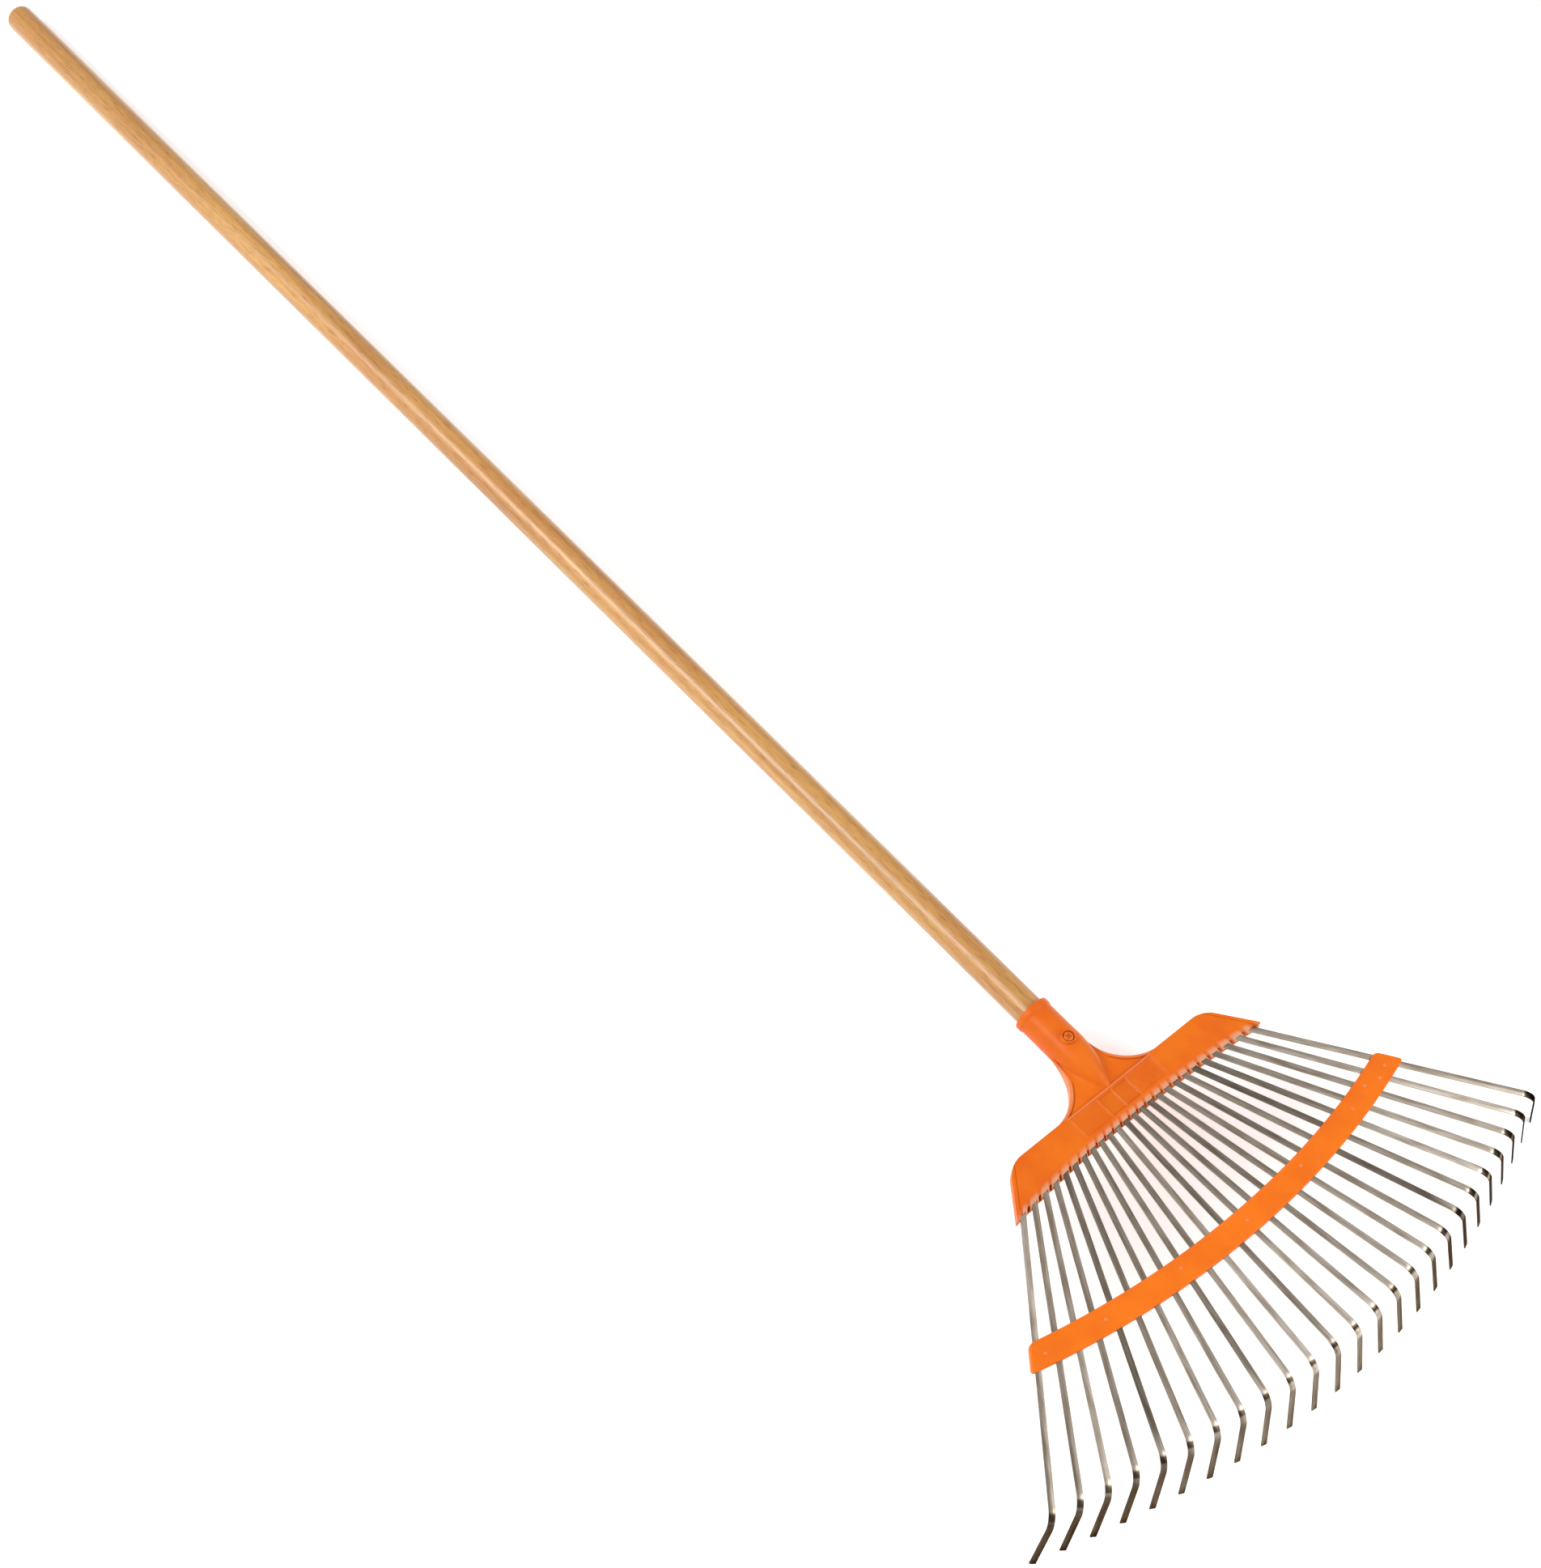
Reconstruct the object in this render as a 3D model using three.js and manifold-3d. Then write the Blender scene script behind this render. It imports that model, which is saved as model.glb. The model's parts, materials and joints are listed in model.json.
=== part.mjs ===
// Leaf rake: ash handle, moulded head, 25 spring-steel tines held at one spacing by a curved brace.
// Millimetres, +Z up, +X from the butt of the handle to the tines. The rake lies top side up on
// the floor, on the ends of its outer tines and the butt of the handle, as it does when laid down.
//
// Everything is drawn first in the head's own frame: the tines leave the head in the plane z = 0,
// x = 0 is a line just behind the head bar, and y = 0 is the line the handle runs along.
import * as THREE from 'three';
import { mergeVertices } from 'three/addons/utils/BufferGeometryUtils.js';
import Module from 'manifold-3d';

const wasm = await Module();
wasm.setup();

const GAP = 0.35;                 // clearance between pieces that touch on the real rake
const OVERSHOOT = 1;              // a cutting body runs past the face it opens by this much

// Handle
const HANDLE_R = 12;              // 24 mm round ash
const HANDLE_LENGTH = 1384;
const HANDLE_PITCH = 2.19;        // degrees that the handle rises away from the tine plane
const HANDLE_MEETS_PLANE_X = 45.5;    // where the handle's axis would cross the tine plane
const BUTT_DOME = 9;              // length of the rounded butt
const DOME_STEPS = 6;
const NOSE_LENGTH = 26;           // the driven end is tapered to sit in the socket
const NOSE_R = 7.5;
const NOSE_CHAMFER = 1;

// Socket, measured back from the end of its bore along the handle's axis
const BORE_END_X = -8;
const SOCKET_MOUTH_X = -73;
const SOCKET_R = 14.3;
const SOCKET_SIDES = 36;
const COLLAR_R = 15.1;
const COLLAR_LENGTH = 5;
const COLLAR_RUNOUT = 1.5;        // slope from the collar down to the socket
const COLLAR_CHAMFER = 0.5;
const CONE = [[-32, 14.3], [-20, 12.9], [-8, 10.1], [2, 6.9], [12, 3.2]];  // x and radius

// Head bar and the web between it and the socket
const BAR_BACK_X = 6.5;
const BAR_TOP_Z = 5;
const BAR_BOTTOM_Z = -5;
const BAR_FRONT_MID_X = 34.5;     // the front edge runs forward towards the ends
const BAR_FRONT_SWEEP = 7;
const BAR_END = { x: 40.5, y: 125 };
const BAR_END_CUT = 0.8;          // the sharp front corner is taken off by this much
const BAR_END_ANGLE = 37.4;       // degrees, the ends run along the outermost tines
const BAR_CORNER_R = 23;
const WEB_TOP_Z = 4;
const WEB_FILLET_R = 41;
const WEB_ROOT_Y = 13;
const WEB_WALL = 2.6;             // the web is hollow below, with walls of this thickness
const WEB_RIB_Y = 27;             // one rib crosses each hollow here
const WEB_RIB_WIDTH = 2;
const WEB_HOLLOW_INNER_Y = 12;
const EDGE_BREAK = 0.8;           // small bevel on the moulding's edges
const LIP_DEPTH = 5.5;            // the sloped front lip that the tines come out of
const LIP_LOW_Z = -1;
const RIDGE = { x0: 7.3, x1: 8.9, y: 43, height: 0.9 };   // raised line along the bar's back
const PANEL_EDGES = [-41, -14.5, 0, 14.5, 41];            // low ribs between the top panels
const PANEL_X = [9.9, 27];
const PANEL_RIB_HALF = 0.9;
const PANEL_DEPTH_MIDDLE = 1.1;
const PANEL_DEPTH_OUTER = 0.6;

// Retainer: the strip that closes the bar from below
const RETAINER_REACH = 108;       // half its length
const RETAINER_BACK_REACH = 88;
const RETAINER_BACK_X = 9.5;
const RETAINER_FRONT_SETBACK = 2.6;
const RETAINER_BEVEL = 0.5;

// Tines
const TINE_COUNT = 25;
const TINE_WIDTH = 4.8;
const TINE_THICKNESS = 1.1;
const ROOT_HALF_SPAN = 87.5;      // outermost tine's distance from the middle at x = 0
const ROOT_EVENNESS = 0.86;       // share of that which is evenly spaced, the rest opens outwards
const FAN_ANGLE = 37.4;           // degrees, outermost tine
const FAN_EVENNESS = 1.1;
const TINE_REACH = [251.1, 13.5]; // x = 0 to the bend, growing with u^2
const TINE_EXIT = [34, 18];       // x = 0 to where the tine leaves the head
const TINE_DROOP = 21.3;          // how far the outermost bend lies below the middle one
const TINE_ROLL = 10.4;           // degrees, the outermost tips lean out by this
const BEND_ANGLE = 73.5;
const BEND_R = 13.6;
const BEND_STEPS = 7;
const TIP_LENGTH = [47.6, 2.2];   // bend corner to the square-cut tip
const HOOK_S = 13;                // the tine's inner end is hooked up inside the head
const HOOK_HEIGHT = 3.4;
const HOOK_R = 1.2;
const SLOT_RUNOUT = 14;           // a tine's slot runs on past the lip by this much

// Brace
const BRACE_REACH = [144.3, 13, -6];  // x = 0 to its centre line, growing with u^2 and u^4
const BRACE_WIDTH = 20;
const BRACE_THICKNESS = 4.8;
const BRACE_EDGE_R = 1.1;
const BRACE_END_U = 1.08;         // its curve runs past the outermost tines
const BRACE_END_MARGIN = 5.0;     // and it is cut off beside them, at this distance from their middle
const BRACE_POINTS = 12;
const BRACE_STEPS = 36;
const BRACE_SLOT_HALF = 25;       // half the length of the cutter for one tine

// Screw that holds the handle in the socket
const SCREW_X = -37;
const BOSS_R = 5.6;
const BOSS_TOP = 16.2;            // from the handle's axis
const BOSS_FOOT = 11.3;
const BOSS_CHAMFER = 0.4;
const SCREW_SEAT = 13.9;          // floor of the counterbore, from the handle's axis
const SCREW_PLAY = 0.3;           // under the head and round the shank
const SCREW_HEAD_R = 3.9;
const SCREW_HEAD_PROFILE = [[1, 0.9], [0.8, 1.5], [0.45, 1.8], [0, 1.9]];  // share of radius, height
const SCREW_ROOM_R = 4.5;
const SCREW_HOLE_FLOOR = 4;
const SCREW_R = 2;
const SCREW_LENGTH = 17;
const SCREW_POINT = [[0, 0], [0.4, 1], [1, 4]];       // share of radius, height above the point
const RECESS = { reach: 2, half: 0.45, floor: 0.7, top: 3, turn: 45 };

const STEEL = { color: 0x8d877c, roughness: 0.42, metalness: 0.9 };
const PLASTIC = { color: 0xf4711d, roughness: 0.42, metalness: 0 };
const ASH = { color: 0xdfa15f, roughness: 0.38, metalness: 0 };
const SCREW_PAINT = { color: 0xd9641b, roughness: 0.4, metalness: 0 };

const rad = THREE.MathUtils.degToRad;
const deg = THREE.MathUtils.radToDeg;
const at = (x, y) => new THREE.Vector2(x, y);
const power = (coefficients, u) => coefficients.reduce((sum, c, k) => sum + c * u ** (2 * k), 0);
const spread = (count, from, to) => Array.from(
  { length: count },
  (_, k) => from + (to - from) * k / (count - 1),
);

// ---- joining and cutting ---------------------------------------------------------------------

function toSolid(geometry) {
  const bare = geometry.index ? geometry.toNonIndexed() : geometry.clone();
  bare.deleteAttribute('normal');
  bare.deleteAttribute('uv');
  const merged = mergeVertices(bare, 1e-4);
  return new wasm.Manifold(new wasm.Mesh({
    numProp: 3,
    vertProperties: new Float32Array(merged.attributes.position.array),
    triVerts: new Uint32Array(merged.index.array),
  }));
}

function toGeometry(solid) {
  const mesh = solid.getMesh();
  const geometry = new THREE.BufferGeometry();
  geometry.setAttribute('position', new THREE.BufferAttribute(mesh.vertProperties, 3));
  geometry.setIndex(new THREE.BufferAttribute(mesh.triVerts, 1));
  geometry.computeVertexNormals();
  return geometry;
}

const join = (first, ...rest) => rest.reduce((sum, next) => sum.add(next), first);
const cut = (first, ...rest) => rest.reduce((left, next) => left.subtract(next), first);

// ---- basic shapes ----------------------------------------------------------------------------

function block(x0, x1, y0, y1, z0, z1) {
  const geometry = new THREE.BoxGeometry(x1 - x0, y1 - y0, z1 - z0);
  geometry.translate((x0 + x1) / 2, (y0 + y1) / 2, (z0 + z1) / 2);
  return geometry;
}

// A flat outline in x and y, raised from z0 to z1, with its top and bottom edges broken.
function plate(points, z0, z1, bevel = 0) {
  const geometry = new THREE.ExtrudeGeometry(new THREE.Shape(points), {
    depth: z1 - z0 - 2 * bevel,
    bevelEnabled: bevel > 0,
    bevelThickness: bevel,
    bevelSize: bevel,
    bevelOffset: -bevel,
    bevelSegments: 1,
  });
  geometry.translate(0, 0, z0 + bevel);
  return geometry;
}

// A body of revolution about the X axis: profile points are [x, radius].
function turned(profile, sides = 32) {
  const geometry = new THREE.LatheGeometry(profile.map(([x, r]) => at(r, x)), sides);
  geometry.rotateZ(-Math.PI / 2);
  return geometry;
}

// The same about an upright line through x on the handle's axis: profile points are [radius, z].
function turnedUpright(profile, x, sides = 20) {
  const geometry = new THREE.LatheGeometry(profile.map(([r, z]) => at(r, z)), sides);
  geometry.rotateX(Math.PI / 2);
  geometry.translate(x, 0, 0);
  return geometry;
}

// A section carried along a curve that runs towards +Y. Section x is down, section y is back (-X).
function swept(section, curve, steps) {
  return new THREE.ExtrudeGeometry(section, { steps, extrudePath: curve, bevelEnabled: false });
}

function arc(cx, cy, r, fromDegrees, toDegrees, steps) {
  return spread(steps + 1, rad(fromDegrees), rad(toDegrees))
    .map((a) => at(cx + r * Math.cos(a), cy + r * Math.sin(a)));
}

// The handle's axis drops towards the head, so everything on it is turned about one point.
function alongHandle(geometry) {
  geometry.translate(-HANDLE_MEETS_PLANE_X, 0, 0);
  geometry.rotateY(rad(HANDLE_PITCH));
  geometry.translate(HANDLE_MEETS_PLANE_X, 0, 0);
  return geometry;
}

// ---- the fan of tines ------------------------------------------------------------------------

const tinePositions = spread(TINE_COUNT, -1, 1);

// Everything about the tine at u, which runs from -1 at one side of the rake to 1 at the other.
function tineAt(u) {
  const reach = power(TINE_REACH, u);
  const exit = power(TINE_EXIT, u);
  const droop = TINE_DROOP * u * u;
  return {
    rootY: ROOT_HALF_SPAN * (ROOT_EVENNESS * u + (1 - ROOT_EVENNESS) * u ** 3),
    angle: rad(FAN_ANGLE * (FAN_EVENNESS * u + (1 - FAN_EVENNESS) * u ** 3)),
    roll: rad(TINE_ROLL * u),
    reach,
    exit,
    droop,
    slope: Math.atan(droop / (reach - exit)),
    tip: power(TIP_LENGTH, u),
  };
}

// Moves geometry drawn along a tine, x out from the root and z up, to its place in the fan.
function toFan(geometry, tine) {
  geometry.rotateX(tine.roll);
  geometry.rotateZ(tine.angle);
  geometry.translate(0, tine.rootY, 0);
  return geometry;
}

// The centre line of a tine seen from the side: hook, root, sloping shank, bend and tip.
function tineLine(tine) {
  const tipward = -tine.slope - rad(BEND_ANGLE);
  const along = at(Math.cos(tine.slope), -Math.sin(tine.slope));
  const down = at(Math.cos(tipward), Math.sin(tipward));
  const corner = at(tine.reach, -tine.droop);
  const bendStart = corner.clone().addScaledVector(along, -BEND_R * Math.tan(rad(BEND_ANGLE / 2)));
  const centre = bendStart.clone().addScaledVector(at(along.y, -along.x), BEND_R);
  const from = 90 - deg(tine.slope);
  return [
    at(HOOK_S, HOOK_HEIGHT),
    ...arc(HOOK_S + HOOK_R, HOOK_R, HOOK_R, 180, 270, 2),
    at(tine.exit, 0),
    ...arc(centre.x, centre.y, BEND_R, from, from - BEND_ANGLE, BEND_STEPS),
    corner.clone().addScaledVector(down, tine.tip),
  ];
}

// A line thickened by a constant amount on both sides.
function stripOutline(line, thickness) {
  const upper = [];
  const lower = [];
  const last = line.length - 1;
  line.forEach((point, k) => {
    const into = line[Math.max(k, 1)].clone().sub(line[Math.max(k, 1) - 1]).normalize();
    const out = line[Math.min(k, last - 1) + 1].clone().sub(line[Math.min(k, last - 1)]).normalize();
    const mean = into.add(out).normalize();
    const mitre = thickness / 2 / mean.dot(out);
    const normal = at(-mean.y, mean.x);
    upper.push(point.clone().addScaledVector(normal, mitre));
    lower.push(point.clone().addScaledVector(normal, -mitre));
  });
  return [...upper, ...lower.reverse()];
}

function makeTine(u) {
  const tine = tineAt(u);
  const outline = stripOutline(tineLine(tine), TINE_THICKNESS);
  const geometry = new THREE.ExtrudeGeometry(new THREE.Shape(outline), {
    depth: TINE_WIDTH,
    bevelEnabled: false,
  });
  geometry.rotateX(Math.PI / 2);
  geometry.translate(0, TINE_WIDTH / 2, 0);
  return toFan(geometry, tine);
}

const slotHalfWidth = TINE_WIDTH / 2 + GAP;
const slotHalfHeight = TINE_THICKNESS / 2 + GAP;

// The room that a tine needs inside the head: a straight slot and a pocket for its hook.
function tineSlot(u) {
  const tine = tineAt(u);
  const back = HOOK_S - slotHalfHeight;
  const front = tine.exit + SLOT_RUNOUT;
  const pocketFront = HOOK_S + 2 * slotHalfHeight;
  const pocketTop = HOOK_HEIGHT + GAP;
  const slot = block(back, front, -slotHalfWidth, slotHalfWidth, -slotHalfHeight, slotHalfHeight);
  const pocket = block(back, pocketFront, -slotHalfWidth, slotHalfWidth, -slotHalfHeight, pocketTop);
  return join(toSolid(toFan(slot, tine)), toSolid(toFan(pocket, tine)));
}

// The room that the same tine needs where it passes through the brace, on the sloping shank.
function braceSlot(u) {
  const tine = tineAt(u);
  const middle = power(BRACE_REACH, u) - tine.exit;
  const slot = block(middle - BRACE_SLOT_HALF, middle + BRACE_SLOT_HALF,
    -slotHalfWidth, slotHalfWidth, -slotHalfHeight, slotHalfHeight);
  slot.rotateY(tine.slope);
  slot.translate(tine.exit, 0, 0);
  return toSolid(toFan(slot, tine));
}

// ---- handle ----------------------------------------------------------------------------------

function makeHandle() {
  const noseEnd = BORE_END_X - GAP;
  const buttX = noseEnd - HANDLE_LENGTH;
  const dome = spread(DOME_STEPS + 1, 0, Math.PI / 2)
    .map((a) => [buttX + BUTT_DOME * (1 - Math.cos(a)), HANDLE_R * Math.sin(a)]);
  const wood = toSolid(alongHandle(turned([
    ...dome,
    [noseEnd - NOSE_LENGTH, HANDLE_R],
    [noseEnd - NOSE_CHAMFER, NOSE_R],
    [noseEnd, NOSE_R - NOSE_CHAMFER],
    [noseEnd, 0],
  ])));
  const pilotR = SCREW_R + GAP;
  const pilot = toSolid(alongHandle(turnedUpright([
    [0, SCREW_SEAT - SCREW_LENGTH - OVERSHOOT],
    [pilotR, SCREW_SEAT - SCREW_LENGTH - OVERSHOOT],
    [pilotR, HANDLE_R + OVERSHOOT],
    [0, HANDLE_R + OVERSHOOT],
  ], SCREW_X)));
  return toGeometry(cut(wood, pilot));
}

// ---- head ------------------------------------------------------------------------------------

const frontX = (y) => BAR_FRONT_MID_X + BAR_FRONT_SWEEP * (y / BAR_END.y) ** 2;

// Half of the head's plan outline, from the middle of its front edge round to the socket.
function headOutlineHalf() {
  const cornerY = BAR_END.y - (BAR_END.x - BAR_BACK_X) * Math.tan(rad(BAR_END_ANGLE));
  const tangent = BAR_CORNER_R * Math.tan(rad(90 - BAR_END_ANGLE) / 2);
  const front = spread(7, 0.14, 0.965).map((share) => at(frontX(share * BAR_END.y), share * BAR_END.y));
  return [
    ...front,
    at(BAR_END.x + BAR_END_CUT, BAR_END.y - BAR_END_CUT),
    at(BAR_END.x - BAR_END_CUT, BAR_END.y - BAR_END_CUT * Math.tan(rad(BAR_END_ANGLE))),
    ...arc(BAR_BACK_X + BAR_CORNER_R, cornerY - tangent, BAR_CORNER_R, 90 + BAR_END_ANGLE, 180, 6),
    ...arc(BAR_BACK_X - WEB_FILLET_R, WEB_ROOT_Y + WEB_FILLET_R, WEB_FILLET_R, 0, -90, 9),
  ];
}

function mirrored(half) {
  return [...half, ...half.map((p) => at(p.x, -p.y)).reverse()];
}

function frontCurve(reach) {
  return new THREE.CatmullRomCurve3(
    spread(9, -reach, reach).map((y) => new THREE.Vector3(frontX(y), y, 0)),
  );
}

function socketAndCone() {
  const runoutX = SOCKET_MOUTH_X + COLLAR_LENGTH + COLLAR_RUNOUT;
  return toSolid(alongHandle(turned([
    [SOCKET_MOUTH_X, 0],
    [SOCKET_MOUTH_X, COLLAR_R - COLLAR_CHAMFER],
    [SOCKET_MOUTH_X + COLLAR_CHAMFER, COLLAR_R],
    [SOCKET_MOUTH_X + COLLAR_LENGTH, COLLAR_R],
    [runoutX, SOCKET_R],
    ...CONE,
    [CONE[CONE.length - 1][0], 0],
  ], SOCKET_SIDES)));
}

function handleBore() {
  return toSolid(alongHandle(turned([
    [SOCKET_MOUTH_X - OVERSHOOT, 0],
    [SOCKET_MOUTH_X - OVERSHOOT, HANDLE_R + GAP],
    [BORE_END_X - NOSE_LENGTH, HANDLE_R + GAP],
    [BORE_END_X, NOSE_R + GAP],
    [BORE_END_X, 0],
  ])));
}

function screwBoss() {
  return toSolid(alongHandle(turnedUpright([
    [0, BOSS_FOOT],
    [BOSS_R, BOSS_FOOT],
    [BOSS_R, BOSS_TOP - BOSS_CHAMFER],
    [BOSS_R - BOSS_CHAMFER, BOSS_TOP],
    [0, BOSS_TOP],
  ], SCREW_X)));
}

// Clearance hole and counterbore for the screw.
function screwRoom() {
  return toSolid(alongHandle(turnedUpright([
    [0, SCREW_HOLE_FLOOR],
    [SCREW_R + GAP, SCREW_HOLE_FLOOR],
    [SCREW_R + GAP, SCREW_SEAT],
    [SCREW_ROOM_R, SCREW_SEAT],
    [SCREW_ROOM_R, BOSS_TOP + OVERSHOOT],
    [0, BOSS_TOP + OVERSHOOT],
  ], SCREW_X)));
}

// The web is hollow from below on each side of the socket, with one rib across each hollow.
function webHollows() {
  const centre = at(BAR_BACK_X - WEB_FILLET_R, WEB_ROOT_Y + WEB_FILLET_R);
  const r = WEB_FILLET_R + WEB_WALL;
  const frontX0 = BAR_BACK_X - OVERSHOOT;
  const start = -deg(Math.acos((frontX0 - centre.x) / r));
  const edge = arc(centre.x, centre.y, r, start, -64, 6);
  const outline = [
    at(frontX0, WEB_HOLLOW_INNER_Y),
    ...edge,
    at(edge[edge.length - 1].x, WEB_HOLLOW_INNER_Y),
  ];
  return [-1, 1].map((side) => {
    const points = outline.map((p) => at(p.x, side * p.y));
    if (side < 0) points.reverse();
    const whole = toSolid(plate(points, BAR_BOTTOM_Z - OVERSHOOT, WEB_TOP_Z - WEB_WALL));
    const ribY = side * WEB_RIB_Y;
    const rib = block(SOCKET_MOUTH_X, BAR_FRONT_MID_X, ribY - WEB_RIB_WIDTH / 2, ribY + WEB_RIB_WIDTH / 2,
      BAR_BOTTOM_Z - 2 * OVERSHOOT, BAR_TOP_Z);
    return cut(whole, toSolid(rib));
  });
}

// Shallow panels on top of the bar, between five low ribs, behind the front lip.
function topPanels() {
  return PANEL_EDGES.slice(1).map((right, k) => {
    const left = PANEL_EDGES[k];
    const depth = left * right === 0 ? PANEL_DEPTH_MIDDLE : PANEL_DEPTH_OUTER;
    return toSolid(block(PANEL_X[0], PANEL_X[1], left + PANEL_RIB_HALF, right - PANEL_RIB_HALF,
      BAR_TOP_Z - depth, BAR_TOP_Z + OVERSHOOT));
  });
}

// Cuts the front of the bar down to a lip that slopes away from its top.
function lipCutter() {
  const top = -BAR_TOP_Z - 3 * OVERSHOOT;
  const section = new THREE.Shape([
    at(-LIP_LOW_Z, 0),
    at(-LIP_LOW_Z, -LIP_DEPTH),
    at(top, -LIP_DEPTH),
    at(top, LIP_DEPTH),
    at(-BAR_TOP_Z, LIP_DEPTH),
  ]);
  return toSolid(swept(section, frontCurve(BAR_END.y + 4), 16));
}

function makeHead() {
  const outline = mirrored(headOutlineHalf());
  const barSide = BAR_END.y + 10;
  const barHalf = toSolid(block(BAR_BACK_X, BAR_END.x + 10, -barSide, barSide,
    BAR_BOTTOM_Z - OVERSHOOT, BAR_TOP_Z + OVERSHOOT));
  const bar = toSolid(plate(outline, BAR_BOTTOM_Z, BAR_TOP_Z, EDGE_BREAK)).intersect(barHalf);
  const web = toSolid(plate(outline, BAR_BOTTOM_Z, WEB_TOP_Z, EDGE_BREAK));
  const ridge = toSolid(block(RIDGE.x0, RIDGE.x1, -RIDGE.y, RIDGE.y, 0, BAR_TOP_Z + RIDGE.height));
  const retainerRoom = toSolid(plate(retainerOutline(0), BAR_BOTTOM_Z - OVERSHOOT, LIP_LOW_Z + GAP));
  return toGeometry(cut(
    join(socketAndCone(), web, bar, ridge, screwBoss()),
    lipCutter(),
    handleBore(),
    screwRoom(),
    retainerRoom,
    ...webHollows(),
    ...topPanels(),
    ...tinePositions.map(tineSlot),
  ));
}

// ---- retainer --------------------------------------------------------------------------------

// The plan outline of the strip, smaller all round by `inset`.
function retainerOutline(inset) {
  const back = RETAINER_BACK_X + inset;
  const reach = RETAINER_REACH - inset;
  const backReach = RETAINER_BACK_REACH - inset;
  const front = spread(9, reach, -reach).map((y) => at(frontX(y) - RETAINER_FRONT_SETBACK - inset, y));
  return [...front, at(back, -backReach), at(back, backReach)];
}

// Holds the tines up in their slots.
function makeRetainer() {
  const strip = toSolid(plate(retainerOutline(GAP), BAR_BOTTOM_Z, LIP_LOW_Z, RETAINER_BEVEL));
  return toGeometry(cut(strip, ...tinePositions.map(tineSlot)));
}

// ---- brace -----------------------------------------------------------------------------------

function braceCurve() {
  return new THREE.CatmullRomCurve3(spread(BRACE_POINTS + 1, -BRACE_END_U, BRACE_END_U).map((u) => {
    const tine = tineAt(u);
    const s = power(BRACE_REACH, u);
    const drop = Math.tan(tine.slope) * (s - tine.exit);
    const side = drop * Math.sin(tine.roll);
    return new THREE.Vector3(
      s * Math.cos(tine.angle) - side * Math.sin(tine.angle),
      tine.rootY + s * Math.sin(tine.angle) + side * Math.cos(tine.angle),
      -drop * Math.cos(tine.roll),
    );
  }));
}

// What lies beyond one end of the brace, beside the outermost tine and parallel to it.
function braceEnd(side) {
  const beyond = block(0, TINE_REACH[0], BRACE_END_MARGIN, BRACE_WIDTH * 2, -BRACE_WIDTH, BRACE_WIDTH);
  if (side < 0) beyond.rotateX(Math.PI);
  return toSolid(toFan(beyond, tineAt(side)));
}

function makeBrace() {
  const x = BRACE_THICKNESS / 2 - BRACE_EDGE_R;
  const y = BRACE_WIDTH / 2 - BRACE_EDGE_R;
  const section = new THREE.Shape([
    ...arc(x, y, BRACE_EDGE_R, 0, 90, 2),
    ...arc(-x, y, BRACE_EDGE_R, 90, 180, 2),
    ...arc(-x, -y, BRACE_EDGE_R, 180, 270, 2),
    ...arc(x, -y, BRACE_EDGE_R, 270, 360, 2),
  ]);
  const strip = toSolid(swept(section, braceCurve(), BRACE_STEPS));
  return toGeometry(cut(strip, braceEnd(-1), braceEnd(1), ...tinePositions.map(braceSlot)));
}

// ---- screw -----------------------------------------------------------------------------------

function makeScrew() {
  const seat = SCREW_SEAT + SCREW_PLAY;
  const point = seat - SCREW_LENGTH;
  const screw = toSolid(turnedUpright([
    ...SCREW_POINT.map(([share, height]) => [SCREW_R * share, point + height]),
    [SCREW_R, seat],
    [SCREW_HEAD_R, seat],
    ...SCREW_HEAD_PROFILE.map(([share, height]) => [SCREW_HEAD_R * share, seat + height]),
  ], 0));
  const arms = [RECESS.turn, RECESS.turn + 90].map((turn) => {
    const arm = block(-RECESS.reach, RECESS.reach, -RECESS.half, RECESS.half,
      seat + RECESS.floor, seat + RECESS.top);
    return toSolid(arm.rotateZ(rad(turn)));
  });
  return alongHandle(toGeometry(cut(screw, ...arms)).translate(SCREW_X, 0, 0));
}

// ---- the rake, laid on the floor ---------------------------------------------------------------

function addPiece(group, name, geometry, finish) {
  const mesh = new THREE.Mesh(geometry, new THREE.MeshStandardMaterial(finish));
  mesh.name = name;
  group.add(mesh);
}

const rake = new THREE.Group();
addPiece(rake, 'handle', makeHandle(), ASH);
addPiece(rake, 'head', makeHead(), PLASTIC);
addPiece(rake, 'tine_retainer', makeRetainer(), PLASTIC);
tinePositions.forEach((u, k) => {
  addPiece(rake, `tine_${String(k + 1).padStart(2, '0')}`, makeTine(u), STEEL);
});
addPiece(rake, 'brace', makeBrace(), PLASTIC);
addPiece(rake, 'handle_screw', makeScrew(), SCREW_PAINT);

// Lowest corner of the pieces with that name once the rake is tipped by an angle about Y.
function lowest(prefix, tilt) {
  const turn = new THREE.Matrix4().makeRotationY(tilt);
  const point = new THREE.Vector3();
  let low = Infinity;
  for (const mesh of rake.children.filter((child) => child.name.startsWith(prefix))) {
    const position = mesh.geometry.attributes.position;
    for (let k = 0; k < position.count; k += 1) {
      low = Math.min(low, point.fromBufferAttribute(position, k).applyMatrix4(turn).z);
    }
  }
  return low;
}

// The tilt at which tines and butt touch the floor together, found by halving.
function restingTilt() {
  const halvings = 40;
  let flat = -rad(15);
  let steep = 0;
  for (let k = 0; k < halvings; k += 1) {
    const middle = (flat + steep) / 2;
    if (lowest('tine_', middle) > lowest('handle', middle)) flat = middle;
    else steep = middle;
  }
  return (flat + steep) / 2;
}

rake.rotation.y = restingTilt();
rake.updateMatrixWorld(true);
const box = new THREE.Box3().setFromObject(rake, true);
rake.position.set(-(box.min.x + box.max.x) / 2, 0, -box.min.z);

const root = new THREE.Group();
root.add(rake);
root.updateMatrixWorld(true);

export default root;
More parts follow.
